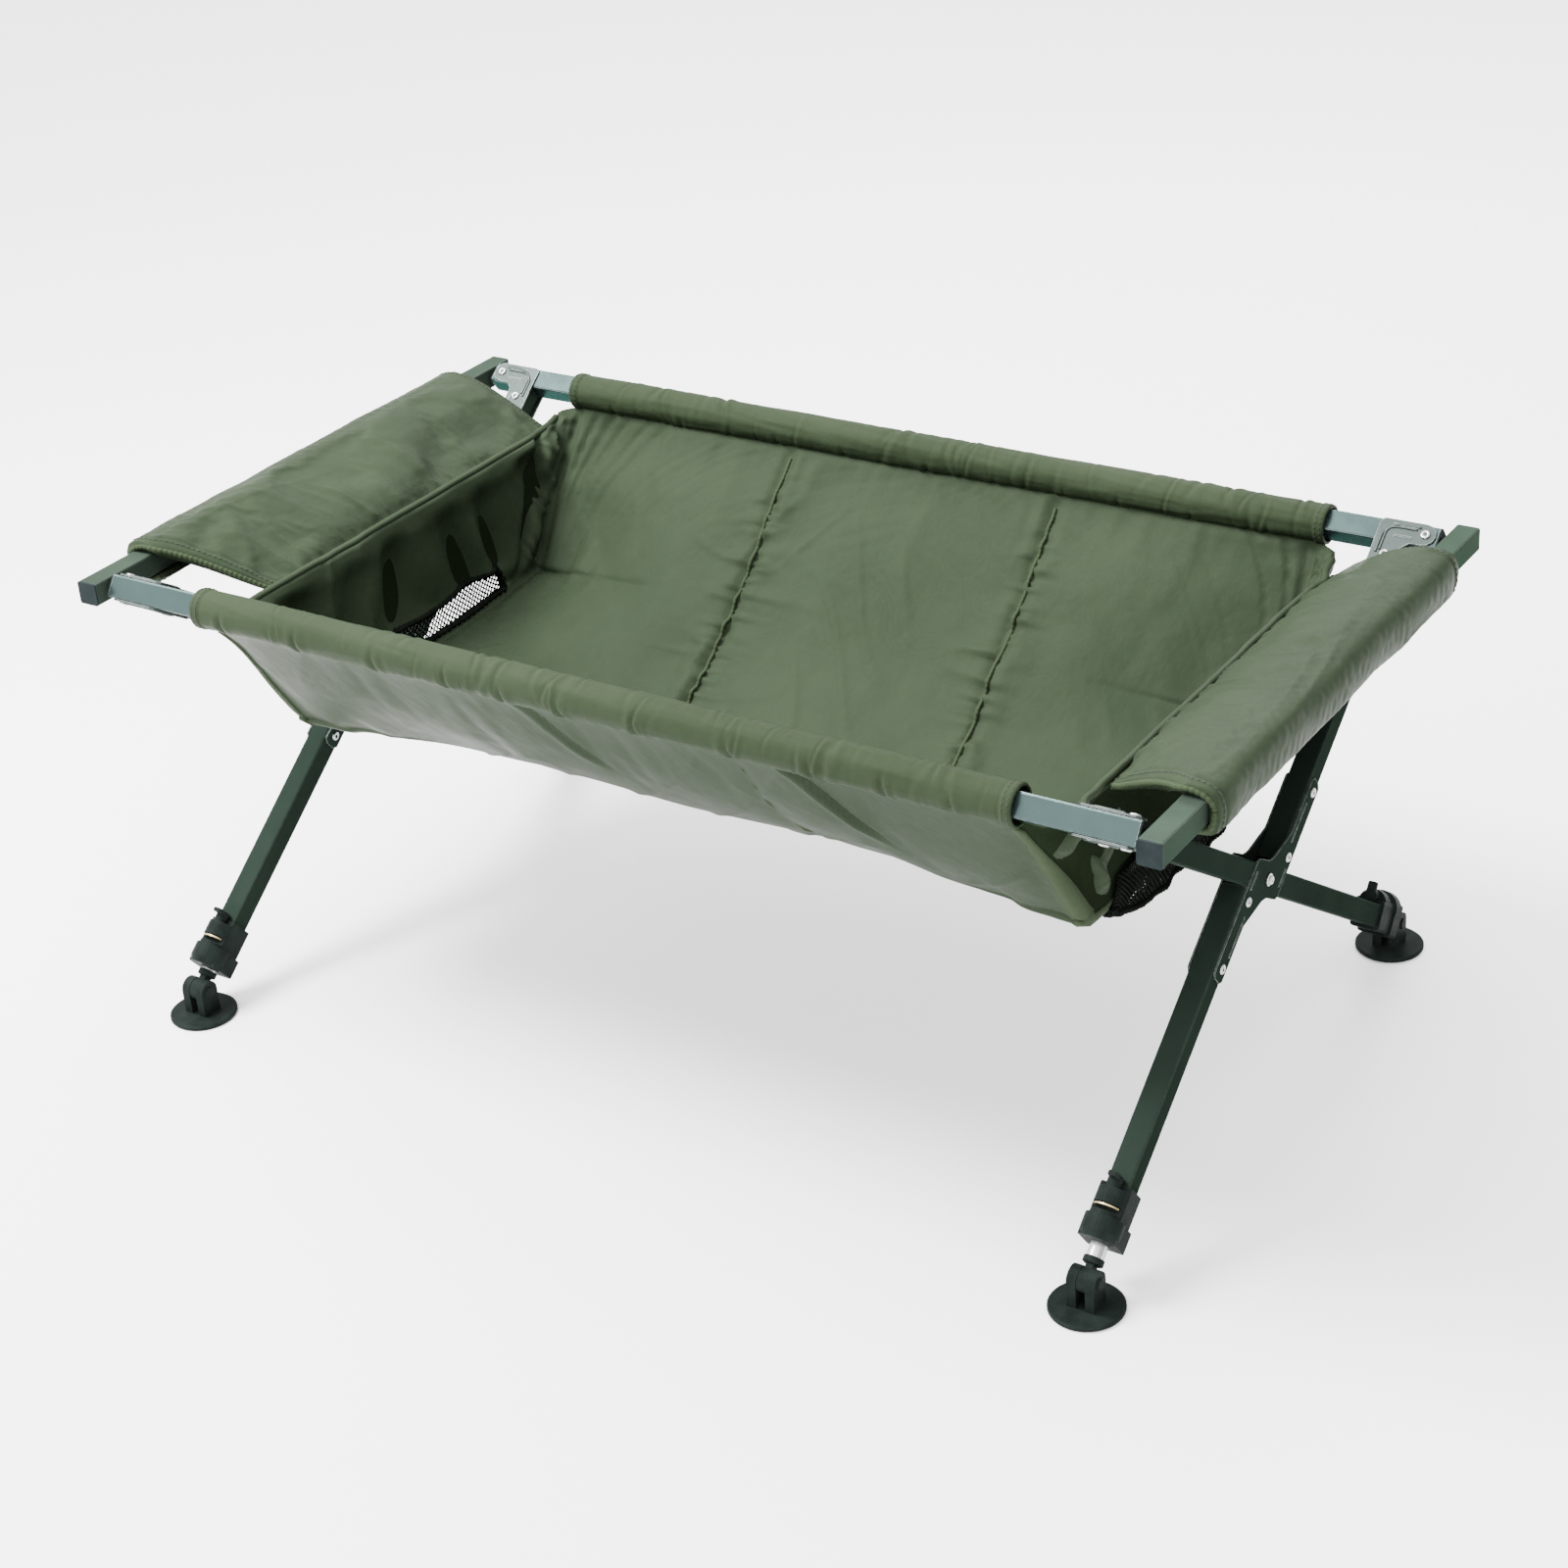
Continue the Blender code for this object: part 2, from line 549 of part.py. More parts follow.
def basin_height(x, y):
    """The basin's inner face: straight end walls, then a floor that sinks towards the middle."""
    reach = abs(x)
    if reach > 0.474:
        share = (0.498 - reach) / 0.024
        return between(BASIN_RIM, y) * (1 - share) + between(BASIN_END, y) * share
    share = min(1.0, (0.474 - reach) / 0.25)
    share = share * share * (3 - 2 * share)
    return between(BASIN_END, y) * (1 - share) + between(BASIN_MIDDLE, y) * share


def basin_skin(name, depth, thickness):
    """The basin's surface set outwards by depth and given a thickness."""
    columns = [-x for x in BASIN_X] + [x for x in reversed(BASIN_X)]
    rows = list(BASIN_Y) + [-y for y in reversed(BASIN_Y[:-1])]
    verts = [(x, y + SHIFT, basin_height(x, y)) for x in columns for y in rows]
    count = len(rows)
    faces = []
    for i in range(len(columns) - 1):
        for j in range(count - 1):
            a = i * count + j
            faces.append((a, a + count, a + count + 1, a + 1))
    mesh = bpy.data.meshes.new(name)
    mesh.from_pydata(verts, [], faces)
    bm = bmesh.new()
    bm.from_mesh(mesh)
    bm.normal_update()
    normals = [v.normal.copy() for v in bm.verts]
    bm.free()
    outer, inner = [], []
    for vert, normal in zip(verts, normals):
        up = normal if normal.z > 0 else -normal
        inner.append(Vector(vert) - up * depth)
        outer.append(Vector(vert) - up * (depth + thickness))
    total = len(verts)
    faces += [tuple(total + v for v in reversed(face)) for face in faces]
    rim = [i * count for i in range(len(columns))]
    rim += [(len(columns) - 1) * count + j for j in range(1, count)]
    rim += [i * count + count - 1 for i in reversed(range(len(columns) - 1))]
    rim += [j for j in reversed(range(1, count - 1))]
    for a, b in zip(rim, rim[1:] + rim[:1]):
        faces.append((a, b, total + b, total + a))
    bpy.data.meshes.remove(mesh)
    return new_object(name, inner + outer, faces)


def window_box(name, side, grow):
    frame = frame_at((side * 0.485, SHIFT, 0.339), (0, 1, 0), (0, 0, 1))
    return prism(name, square(0.155 + grow, 0.012 + grow, 4, 0.017 + grow), -0.06, 0.06, frame)


def basin():
    """The padded basin, with a window cut in each end wall."""
    obj = basin_skin("basin", 0.0, 0.008)
    combine(obj, [window_box("cut", side, 0.0) for side in (-1, 1)], "DIFFERENCE")
    return paint(obj, OLIVE, 0.0, 0.6)


def mesh_window(name, side):
    """The drain panel of open mesh that fills an end wall's window."""
    obj = basin_skin(name, 0.003, 0.002)
    combine(obj, [window_box("crop", side, -0.0006)], "INTERSECT")
    return paint(obj, MESH_BLACK, 0.0, 0.8)


def build():
    clear_scene()
    # The near frame: one rail and the two A legs.
    side_rail("near_rail", NEAR_Y, -ANGLE_A)
    sleeve("near_sleeve", NEAR_Y)
    for side, word in ((-1, "left"), (1, "right")):
        rail_plug("near_stud_" + word, side, NEAR_Y, -ANGLE_A, HALF_LENGTH - TUBE + 0.0050)
        near_leg("near_frame_leg_" + word, side)
        corner_plate("near_corner_upper_" + word, side, NEAR_Y, ANGLE_A, True, True)
        corner_plate("near_corner_lower_" + word, side, NEAR_Y, ANGLE_A, True, False)
    foot("far_foot_left", leg_a_frame(-1))
    foot("far_foot_right", leg_a_frame(1))
    # The far frame: the other rail and the two-part B legs, which turns about the pivot bolts.
    moving = [side_rail("far_rail", FAR_Y, ANGLE_B), sleeve("far_sleeve", FAR_Y)]
    for side, word in ((-1, "left"), (1, "right")):
        drawn = DRAWN_OUT if side > 0 else 0.0
        moving.append(rail_plug("far_stud_" + word, side, FAR_Y, ANGLE_B, HALF_LENGTH - TUBE - 0.0004))
        moving.append(far_upper_leg("far_frame_upper_leg_" + word, side))
        moving.append(far_lower_leg("far_frame_lower_leg_" + word, side, drawn))
        moving.append(corner_plate("far_corner_upper_" + word, side, FAR_Y, ANGLE_B, False, True))
        moving.append(corner_plate("far_corner_lower_" + word, side, FAR_Y, ANGLE_B, False, False))
        moving.append(scissor_plate("scissor_plate_outer_" + word, side, True))
        moving.append(scissor_plate("scissor_plate_inner_" + word, side, False))
        moving.append(pivot_bolt("pivot_bolt_" + word, side))
        moving += foot("near_foot_" + word, leg_b_frame(side), drawn)
    hang_on("scissor_axis", (0, PIVOT_Y, PIVOT_Z), moving)
    # The end bars swing on the near rail's studs.
    for side, word in ((-1, "left"), (1, "right")):
        pieces = [end_bar("end_bar_" + word, side), bolster("bolster_" + word, side)]
        pieces.append(bar_cap("end_bar_cap_near_" + word, side, -1))
        pieces.append(bar_cap("end_bar_cap_far_" + word, side, 1))
        hang_on("end_bar_axis_" + word, (side * (HALF_LENGTH - TUBE / 2), NEAR_Y, RAIL_Z), pieces)
    basin()
    mesh_window("mesh_window_left", -1)
    mesh_window("mesh_window_right", 1)


build()
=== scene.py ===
"""Looks of the folding cradle: padded nylon, painted tube, pressed plates and moulded feet.

Metres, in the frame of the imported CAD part: X along the object, Y across it, +Z up.
"""

import math

import bmesh
import bpy
import numpy as np
from mathutils import Matrix, Vector


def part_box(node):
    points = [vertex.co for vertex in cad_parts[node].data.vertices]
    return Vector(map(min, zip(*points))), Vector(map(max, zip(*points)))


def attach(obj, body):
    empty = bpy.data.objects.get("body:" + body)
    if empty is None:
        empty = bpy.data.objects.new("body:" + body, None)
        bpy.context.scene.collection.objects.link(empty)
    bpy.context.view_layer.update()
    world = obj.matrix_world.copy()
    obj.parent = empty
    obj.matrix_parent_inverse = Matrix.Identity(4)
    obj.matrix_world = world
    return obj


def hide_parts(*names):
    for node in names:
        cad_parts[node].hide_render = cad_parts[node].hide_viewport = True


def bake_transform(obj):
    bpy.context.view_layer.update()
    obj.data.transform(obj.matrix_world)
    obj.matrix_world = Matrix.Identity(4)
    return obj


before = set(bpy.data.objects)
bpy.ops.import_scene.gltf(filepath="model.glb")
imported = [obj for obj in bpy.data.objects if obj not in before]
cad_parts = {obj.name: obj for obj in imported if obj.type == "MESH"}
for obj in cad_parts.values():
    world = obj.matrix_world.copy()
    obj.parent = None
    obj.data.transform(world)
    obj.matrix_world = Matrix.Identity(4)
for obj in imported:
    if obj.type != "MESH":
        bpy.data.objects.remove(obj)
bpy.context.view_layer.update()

# ---- sizes of what is added here ----
PLATE_TOP = 0.0146  # outer face of a corner or scissor plate, from its tube's axis
PADDING = 0.008  # thickness of the basin's padded wall
SEAM_X = 0.170  # the two seams across the lining
SLEEVE_INSIDE = 0.0180  # radius of a side sleeve's inside
HEM = 0.012  # width of a stitched hem band
STITCH = 0.0042  # length of one stitch
NET_CELL = 0.0066  # spacing of the drain net's strands
NET_STRAND = 0.0012  # radius of a strand


def centre_of(node):
    low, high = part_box(node)
    return (low + high) / 2


# ---- places, read from the frame ----
NEAR = centre_of("near_rail")
FAR = centre_of("far_rail")
MIDDLE_Y = (NEAR.y + FAR.y) / 2
RAIL_Z = NEAR.z
SLEEVE_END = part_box("near_sleeve")[1].x
SLEEVE_R = (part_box("near_sleeve")[1].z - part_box("near_sleeve")[0].z) / 2
BOLSTER_LOW, BOLSTER_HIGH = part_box("bolster_right")
WINDOW_LOW, WINDOW_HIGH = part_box("mesh_window_right")
LEG_X = centre_of("near_frame_leg_right").x
PIVOT = centre_of("pivot_bolt_right")
FOOT_Y = centre_of("far_foot_left_disc").y
KNUCKLE_Z = 0.032  # height of a foot's ball, where its leg's axis ends
SCISSOR_SLOPE = math.radians(37.6)  # the far frame's legs from level


# ---- camera ----
CAMERA_PLACE = (1.6302, -2.3279, 1.7904)
CAMERA_ANGLES = (34.8719, 28.4903, -4.3815)  # azimuth, elevation and roll, in degrees
CAMERA_LENS = 69.02  # mm


def make_camera():
    """At the photograph's viewpoint, found from the square tubes' corners."""
    azimuth, elevation, roll = (math.radians(a) for a in CAMERA_ANGLES)
    back = Vector((math.sin(azimuth), -math.cos(azimuth), 0)) * math.cos(elevation)
    back.z = math.sin(elevation)
    right = (-back).cross(Vector((0, 0, 1))).normalized()
    up = right.cross(-back)
    turned_right = right * math.cos(roll) + up * math.sin(roll)
    turned_up = up * math.cos(roll) - right * math.sin(roll)
    camera = bpy.data.objects.new("camera", bpy.data.cameras.new("camera"))
    bpy.context.scene.collection.objects.link(camera)
    turn = Matrix((turned_right, turned_up, back)).transposed()
    camera.matrix_world = Matrix.Translation(CAMERA_PLACE) @ turn.to_4x4()
    camera.data.lens = CAMERA_LENS
    camera.data.sensor_width = 36
    camera.data.clip_start = 0.05
    bpy.context.scene.camera = camera


def add_light(name, location, size, power):
    light = bpy.data.objects.new(name, bpy.data.lights.new(name, "AREA"))
    light.data.shape = "DISK"
    light.data.size = size
    light.data.energy = power
    light.location = location
    aim = Vector((0, 0, 0.3)) - Vector(location)
    light.rotation_euler = aim.to_track_quat("-Z", "Y").to_euler()
    bpy.context.scene.collection.objects.link(light)


def make_studio():
    """A pale floor, a surround that glows from above and to the left, and two soft lights."""
    world = bpy.data.worlds.new("studio")
    bpy.context.scene.world = world
    world.use_nodes = True
    background = world.node_tree.nodes["Background"]
    background.inputs["Color"].default_value = (1.0, 1.0, 1.0, 1)
    tree = world.node_tree
    direction = tree.nodes.new("ShaderNodeTexCoord").outputs["Generated"]
    toward = tree.nodes.new("ShaderNodeVectorMath")
    toward.operation = "DOT_PRODUCT"
    toward.inputs[1].default_value = (-0.42, -0.22, 0.88)
    tree.links.new(direction, toward.inputs[0])
    glow = tree.nodes.new("ShaderNodeMapRange")
    glow.interpolation_type = "SMOOTHSTEP"
    for name, number in (("From Min", -0.05), ("From Max", 1.0), ("To Min", 1.10), ("To Max", 5.4)):
        glow.inputs[name].default_value = number
    tree.links.new(toward.outputs["Value"], glow.inputs["Value"])
    tree.links.new(glow.outputs["Result"], background.inputs["Strength"])
    add_light("key", (-1.5, -0.8, 2.9), 1.3, 330)
    add_light("rim", (-0.4, 2.6, 2.4), 1.6, 70)
    bpy.ops.mesh.primitive_plane_add(size=30, location=(0, 0, -0.0005))
    floor = bpy.context.object
    floor.name = "floor"
    material, shader = new_material("pale_floor", (0.95, 0.95, 0.95), 0.8)
    floor.data.materials.append(material)


# ---- node helpers ----
def new_material(name, colour, roughness, metallic=0.0):
    material = bpy.data.materials.new(name)
    material.use_nodes = True
    shader = material.node_tree.nodes["Principled BSDF"]
    shader.inputs["Base Color"].default_value = (*colour, 1)
    shader.inputs["Roughness"].default_value = roughness
    shader.inputs["Metallic"].default_value = metallic
    return material, shader


class Nodes:
    """Short calls for building one material's node tree."""

    def __init__(self, material):
        self.tree = material.node_tree
        self.coordinates = self.tree.nodes.new("ShaderNodeTexCoord").outputs["Object"]

    def link(self, source, target):
        if isinstance(source, (int, float, tuple)):
            target.default_value = source
        else:
            self.tree.links.new(source, target)

    def scaled(self, factors, turn=(0, 0, 0)):
        node = self.tree.nodes.new("ShaderNodeMapping")
        node.inputs["Scale"].default_value = factors
        node.inputs["Rotation"].default_value = turn
        self.link(self.coordinates, node.inputs["Vector"])
        return node.outputs["Vector"]

    def noise(self, scale, detail=3.0, roughness=0.5, vector=None):
        node = self.tree.nodes.new("ShaderNodeTexNoise")
        node.inputs["Scale"].default_value = scale
        node.inputs["Detail"].default_value = detail
        node.inputs["Roughness"].default_value = roughness
        self.link(vector or self.coordinates, node.inputs["Vector"])
        return node.outputs["Fac"]

    def wave(self, scale, direction, vector=None, distortion=0.0):
        node = self.tree.nodes.new("ShaderNodeTexWave")
        node.bands_direction = direction
        node.inputs["Scale"].default_value = scale
        node.inputs["Distortion"].default_value = distortion
        self.link(vector or self.coordinates, node.inputs["Vector"])
        return node.outputs["Fac"]

    def math(self, operation, a, b=0.0):
        node = self.tree.nodes.new("ShaderNodeMath")
        node.operation = operation
        self.link(a, node.inputs[0])
        self.link(b, node.inputs[1])
        return node.outputs[0]

    def spread(self, value, low, high, to_low=0.0, to_high=1.0):
        node = self.tree.nodes.new("ShaderNodeMapRange")
        self.link(value, node.inputs["Value"])
        for name, number in zip(("From Min", "From Max", "To Min", "To Max"), (low, high, to_low, to_high)):
            node.inputs[name].default_value = number
        return node.outputs["Result"]

    def mix(self, share, first, second):
        node = self.tree.nodes.new("ShaderNodeMix")
        node.data_type = "RGBA"
        self.link(share, node.inputs[0])
        for colour, socket in ((first, node.inputs[6]), (second, node.inputs[7])):
            self.link((*colour, 1) if isinstance(colour, tuple) else colour, socket)
        return node.outputs[2]

    def bump(self, height, strength, distance, normal=None):
        node = self.tree.nodes.new("ShaderNodeBump")
        node.inputs["Strength"].default_value = strength
        node.inputs["Distance"].default_value = distance
        self.link(height, node.inputs["Height"])
        if normal is not None:
            self.link(normal, node.inputs["Normal"])
        return node.outputs["Normal"]

    def edges(self, radius):
        """Near 1 on sharp edges and 0 on flat faces."""
        bevel = self.tree.nodes.new("ShaderNodeBevel")
        bevel.samples = 4
        bevel.inputs["Radius"].default_value = radius
        geometry = self.tree.nodes.new("ShaderNodeNewGeometry")
        dot = self.tree.nodes.new("ShaderNodeVectorMath")
        dot.operation = "DOT_PRODUCT"
        self.link(bevel.outputs["Normal"], dot.inputs[0])
        self.link(geometry.outputs["Normal"], dot.inputs[1])
        return self.spread(dot.outputs["Value"], 0.99, 0.80)


# ---- materials ----
def nylon(name, light, dark, roughness=0.38, gloss=0.024):
    """Coated olive nylon: fine plain weave, soft crushing and slow drifts of tone."""
    material, shader = new_material(name, light, roughness)
    n = Nodes(material)
    drift = n.noise(3.2, 3.0, 0.55)
    cloudy = n.noise(19.0, 4.0, 0.6)
    tone = n.math("ADD", n.math("MULTIPLY", drift, 0.65), n.math("MULTIPLY", cloudy, 0.35))
    n.link(n.mix(n.spread(tone, 0.30, 0.70), dark, light), shader.inputs["Base Color"])
    n.link(n.spread(cloudy, 0.25, 0.75, roughness - 0.05, roughness + 0.08), shader.inputs["Roughness"])
    crush = n.noise(70.0, 3.0, 0.55, n.scaled((1.0, 0.55, 0.8)))
    weave = n.math("ADD", n.wave(520, "X"), n.math("ADD", n.wave(520, "Y"), n.wave(520, "Z")))
    soft = n.bump(crush, 0.5, 0.0020)
    n.link(n.bump(weave, 0.22, 0.0003, soft), shader.inputs["Normal"])
    shader.inputs["Specular IOR Level"].default_value = gloss
    shader.inputs["Specular Tint"].default_value = (0.80, 0.95, 0.72, 1)
    return material


def paint(name, colour, roughness, metallic, edge, highlight_share=0.5):
    """Powder coat: fine orange peel, faint drifts, and a painted highlight that lightens its sharp edges."""
    material, shader = new_material(name, colour, roughness, metallic)
    n = Nodes(material)
    drift = n.noise(14.0, 3.0, 0.6)
    darker = tuple(c * 0.82 for c in colour)
    base = n.mix(n.spread(drift, 0.3, 0.7), darker, colour)
    shader.inputs["Specular IOR Level"].default_value = 0.0
    shader.inputs["Specular Tint"].default_value = (0.35, 0.38, 0.36, 1)
    # Painted highlight: sharp edges are mixed towards a light colour, made uneven by noise.
    edge_highlight = n.math("MULTIPLY", n.edges(0.0011), n.spread(n.noise(160.0, 2.0), 0.3, 0.6, 0.45, 1.0))
    n.link(n.mix(n.math("MULTIPLY", edge_highlight, highlight_share), base, edge), shader.inputs["Base Color"])
    rough = n.spread(n.noise(45.0, 3.0), 0.3, 0.7, roughness - 0.05, roughness + 0.07)
    n.link(rough, shader.inputs["Roughness"])
    n.link(n.bump(n.noise(1500.0, 2.0), 0.18, 0.0002), shader.inputs["Normal"])
    return material


def plastic(name, colour, roughness=0.45):
    """Moulded nylon plastic with a fine spark-eroded grain and a painted highlight on its sharp edges."""
    material, shader = new_material(name, colour, roughness)
    shader.inputs["Specular IOR Level"].default_value = 0.015
    n = Nodes(material)
    lighter = tuple(c * 1.5 + 0.002 for c in colour)
    # Sharp edges are mixed halfway towards a much lighter colour: a painted highlight.
    edge = tuple(c * 2.6 + 0.008 for c in colour)
    base = n.mix(n.spread(n.noise(60.0, 3.0), 0.35, 0.75), colour, lighter)
    n.link(n.mix(n.math("MULTIPLY", n.edges(0.0009), 0.5), base, edge), shader.inputs["Base Color"])
    rough = n.spread(n.noise(120.0, 3.0), 0.3, 0.7, roughness - 0.06, roughness + 0.1)
    n.link(rough, shader.inputs["Roughness"])
    n.link(n.bump(n.noise(2200.0, 2.0), 0.25, 0.0002), shader.inputs["Normal"])
    return material


def metal(name, colour, roughness=0.28):
    """Bright plated metal with drawn lines and a little haze."""
    material, shader = new_material(name, colour, roughness, 1.0)
    n = Nodes(material)
    lines = n.noise(900.0, 2.0, 0.5, n.scaled((0.05, 1.0, 1.0)))
    n.link(n.spread(lines, 0.3, 0.7, roughness - 0.08, roughness + 0.12), shader.inputs["Roughness"])
    n.link(n.bump(lines, 0.15, 0.0002), shader.inputs["Normal"])
    return material


def thread(name, colour):
    material, shader = new_material(name, colour, 0.7)
    n = Nodes(material)
    twist = n.wave(900, "DIAGONAL")
    # The twist's low grooves get the darker colour: painted shade in the grooves.
    n.link(n.mix(twist, tuple(c * 0.6 for c in colour), colour), shader.inputs["Base Color"])
    n.link(n.bump(twist, 0.4, 0.0003), shader.inputs["Normal"])
    return material


OLIVE = (0.0248, 0.0348, 0.0205)
OLIVE_DARK = (0.0167, 0.0243, 0.0138)
MATERIALS = {
    "fabric": nylon("olive_nylon", OLIVE, OLIVE_DARK),
    "sleeve": nylon("olive_nylon_sleeve", (0.0245, 0.0345, 0.0192), (0.0165, 0.0240, 0.0125), 0.44),
    "binding": nylon("olive_binding", (0.034, 0.047, 0.026), (0.021, 0.030, 0.016), 0.6),
    # A much darker olive with no gloss, put on the end walls' outer faces as painted shade.
    "painted_shade_wall": nylon("olive_painted_shade", (0.0095, 0.0140, 0.0075), (0.0060, 0.0092, 0.0046), 0.6, 0.0),
    "net": plastic("black_net", (0.003, 0.004, 0.003), 0.6),
    "thread": thread("dark_thread", (0.010, 0.016, 0.008)),
    # The last two values of each paint are the colour and the share of its painted edge highlight.
    "frame_paint": paint("frame_green", (0.0125, 0.0195, 0.0150), 0.34, 0.2, (0.08, 0.105, 0.09), 0.6),
    "rail_paint": paint("rail_grey_green", (0.040, 0.062, 0.060), 0.26, 0.75, (0.40, 0.46, 0.46), 0.8),
    "pressed_plate": paint("plate_green", (0.0140, 0.0215, 0.0170), 0.30, 0.25, (0.30, 0.34, 0.32), 0.9),
    "corner_plate": paint("corner_plate_grey", (0.055, 0.068, 0.064), 0.26, 0.7, (0.40, 0.45, 0.43), 0.8),
    "end_bar": paint("end_bar_grey_green", (0.034, 0.048, 0.037), 0.32, 0.3, (0.12, 0.15, 0.13), 0.6),
    "bright_steel": metal("bright_steel", (0.42, 0.43, 0.42)),
    "spring_brass": metal("spring_brass", (0.42, 0.34, 0.18)),
    "black_plastic": plastic("black_plastic", (0.0055, 0.0080, 0.0070)),
    "cap_plastic": plastic("cap_grey", (0.0085, 0.0120, 0.0125), 0.5),
}


def finish_of(node):
    """The material of a CAD node that stays on show."""
    if node.endswith(("_housing", "_disc", "_stem_head")) or "_stud_" in node:
        return "black_plastic"
    if "_cap_" in node:
        return "cap_plastic"
    if node.endswith("_lock_spring"):
        return "spring_brass"
    if node.endswith("_stem_rod") or node.startswith("pivot_bolt"):
        return "bright_steel"
    if "_corner_" in node:
        return "corner_plate"
    if node.startswith("scissor_plate"):
        return "pressed_plate"
    if node.endswith("_rail"):
        return "rail_paint"
    if node.startswith("end_bar_"):
        return "end_bar"
    return "frame_paint"


def finish_frame():
    for name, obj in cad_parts.items():
        obj.data.materials.clear()
        obj.data.materials.append(MATERIALS[finish_of(name)])
        obj.data.shade_flat()
        for polygon in obj.data.polygons:
            polygon.use_smooth = True
        obj.data.set_sharp_from_angle(angle=math.radians(32))


# ---- mesh helpers ----
def hash_noise(u, v, seed):
    """Smooth noise from -1 to 1 over a plane, from a fixed random lattice."""
    size = 97
    lattice = np.random.default_rng(seed).uniform(-1, 1, (size, size))
    u, v = np.broadcast_arrays(np.asarray(u, float), np.asarray(v, float))
    iu, iv = np.floor(u).astype(int), np.floor(v).astype(int)
    fu, fv = u - iu, v - iv
    fu, fv = fu * fu * (3 - 2 * fu), fv * fv * (3 - 2 * fv)
    a, b = lattice[iu % size, iv % size], lattice[(iu + 1) % size, iv % size]
    c, d = lattice[iu % size, (iv + 1) % size], lattice[(iu + 1) % size, (iv + 1) % size]
    return (a * (1 - fu) + b * fu) * (1 - fv) + (c * (1 - fu) + d * fu) * fv


def cloudy(u, v, seed):
    """Two octaves of smooth noise."""
    return 0.7 * hash_noise(u, v, seed) + 0.3 * hash_noise(2.1 * u, 2.1 * v, seed + 1)


def ridges(value, sharpness=2.0):
    """Turns smooth noise into creases: 1 along its zero lines, falling to 0."""
    return np.clip(1 - np.abs(value) * sharpness, 0, 1) ** 2


def bell(value, width):
    """1 where the value is 0, falling smoothly to 0 beyond the width."""
    return np.exp(-((value / width) ** 2))


def step(value, low, high):
    """0 at low and 1 at high, held beyond them, with a smooth climb between."""
    share = np.clip((value - low) / (high - low), 0, 1)
    return share * share * (3 - 2 * share)


def smooth_path(points, count):
    """A Catmull-Rom curve through the points, with count places evenly along it."""
    points = np.array(points, float)
    ends = np.vstack([2 * points[0] - points[1], points, 2 * points[-1] - points[-2]])
    fine = []
    for k in range(len(points) - 1):
        a, b, c, d = ends[k : k + 4]
        for t in np.linspace(0, 1, 24, endpoint=False):
            curved = (2 * a - 5 * b + 4 * c - d) * t**2
            fine.append(0.5 * (2 * b + (c - a) * t + curved + (3 * b - a - 3 * c + d) * t**3))
    fine = np.array(fine + [points[-1]])
    along = np.concatenate([[0], np.cumsum(np.linalg.norm(np.diff(fine, axis=0), axis=1))])
    places = np.linspace(0, along[-1], count)
    return np.stack([np.interp(places, along, fine[:, k]) for k in range(fine.shape[1])], axis=1)


def normals_of(grid):
    """Unit normals of a grid of points."""
    along = np.gradient(grid, axis=0)
    across = np.gradient(grid, axis=1)
    normal = np.cross(along, across)
    return normal / np.maximum(np.linalg.norm(normal, axis=2, keepdims=True), 1e-12)


def mesh_object(name, verts, faces, material):
    mesh = bpy.data.meshes.new(name)
    mesh.from_pydata(np.asarray(verts, float).tolist(), [], [tuple(map(int, f)) for f in faces])
    mesh.polygons.foreach_set("use_smooth", [True] * len(mesh.polygons))
    mesh.materials.append(MATERIALS[material])
    mesh.validate()
    obj = bpy.data.objects.new(name, mesh)
    bpy.context.scene.collection.objects.link(obj)
    return obj


def grid_faces(index, keep=None):
    """Quads over a grid of vertex numbers; keep says which cells stay."""
    quads = np.stack([index[:-1, :-1], index[1:, :-1], index[1:, 1:], index[:-1, 1:]], axis=-1)
    return quads.reshape(-1, 4) if keep is None else quads[keep]


def rim_strip(first, second):
    return np.stack([first[:-1], first[1:], second[1:], second[:-1]], axis=-1)


def kept_cells(shape, holes):
    """Which cells of a grid are cloth, in the order shell_object lays its faces: inner skin, then outer."""
    keep = np.ones((shape[0] - 1, shape[1] - 1), bool)
    for r0, r1, c0, c1 in holes:
        keep[r0:r1, c0:c1] = False
    return keep


def shell_object(name, inner, outer, material, holes=()):
    """A closed padded skin between two grids; holes are (row, row, column, column) windows through it."""
    rows, columns = inner.shape[:2]
    a = np.arange(rows * columns).reshape(rows, columns)
    b = a + rows * columns
    keep = kept_cells(inner.shape, holes)
    faces = [grid_faces(a, keep), grid_faces(b, keep)[:, ::-1]]
    loops = [(0, rows - 1, 0, columns - 1, False)] + [(r0, r1, c0, c1, True) for r0, r1, c0, c1 in holes]
    for r0, r1, c0, c1, turned in loops:
        for ia, ib in (
            (a[r0 : r1 + 1, c0], b[r0 : r1 + 1, c0]),
            (a[r1, c0 : c1 + 1], b[r1, c0 : c1 + 1]),
            (a[r0 : r1 + 1, c1][::-1], b[r0 : r1 + 1, c1][::-1]),
            (a[r0, c0 : c1 + 1][::-1], b[r0, c0 : c1 + 1][::-1]),
        ):
            strip = rim_strip(ia, ib)
            faces.append(strip if turned else strip[:, ::-1])
    points = np.vstack([inner.reshape(-1, 3), outer.reshape(-1, 3)])
    obj = mesh_object(name, points, np.vstack(faces), material)
    tidy_normals(obj)
    return obj


def tidy_normals(obj):
    """Drops points that no face uses, and turns every face outward."""
    bm = bmesh.new()
    bm.from_mesh(obj.data)
    loose = [v for v in bm.verts if not v.link_faces]
    bmesh.ops.delete(bm, geom=loose, context="VERTS")
    bmesh.ops.recalc_face_normals(bm, faces=bm.faces)
    bm.to_mesh(obj.data)
    bm.free()


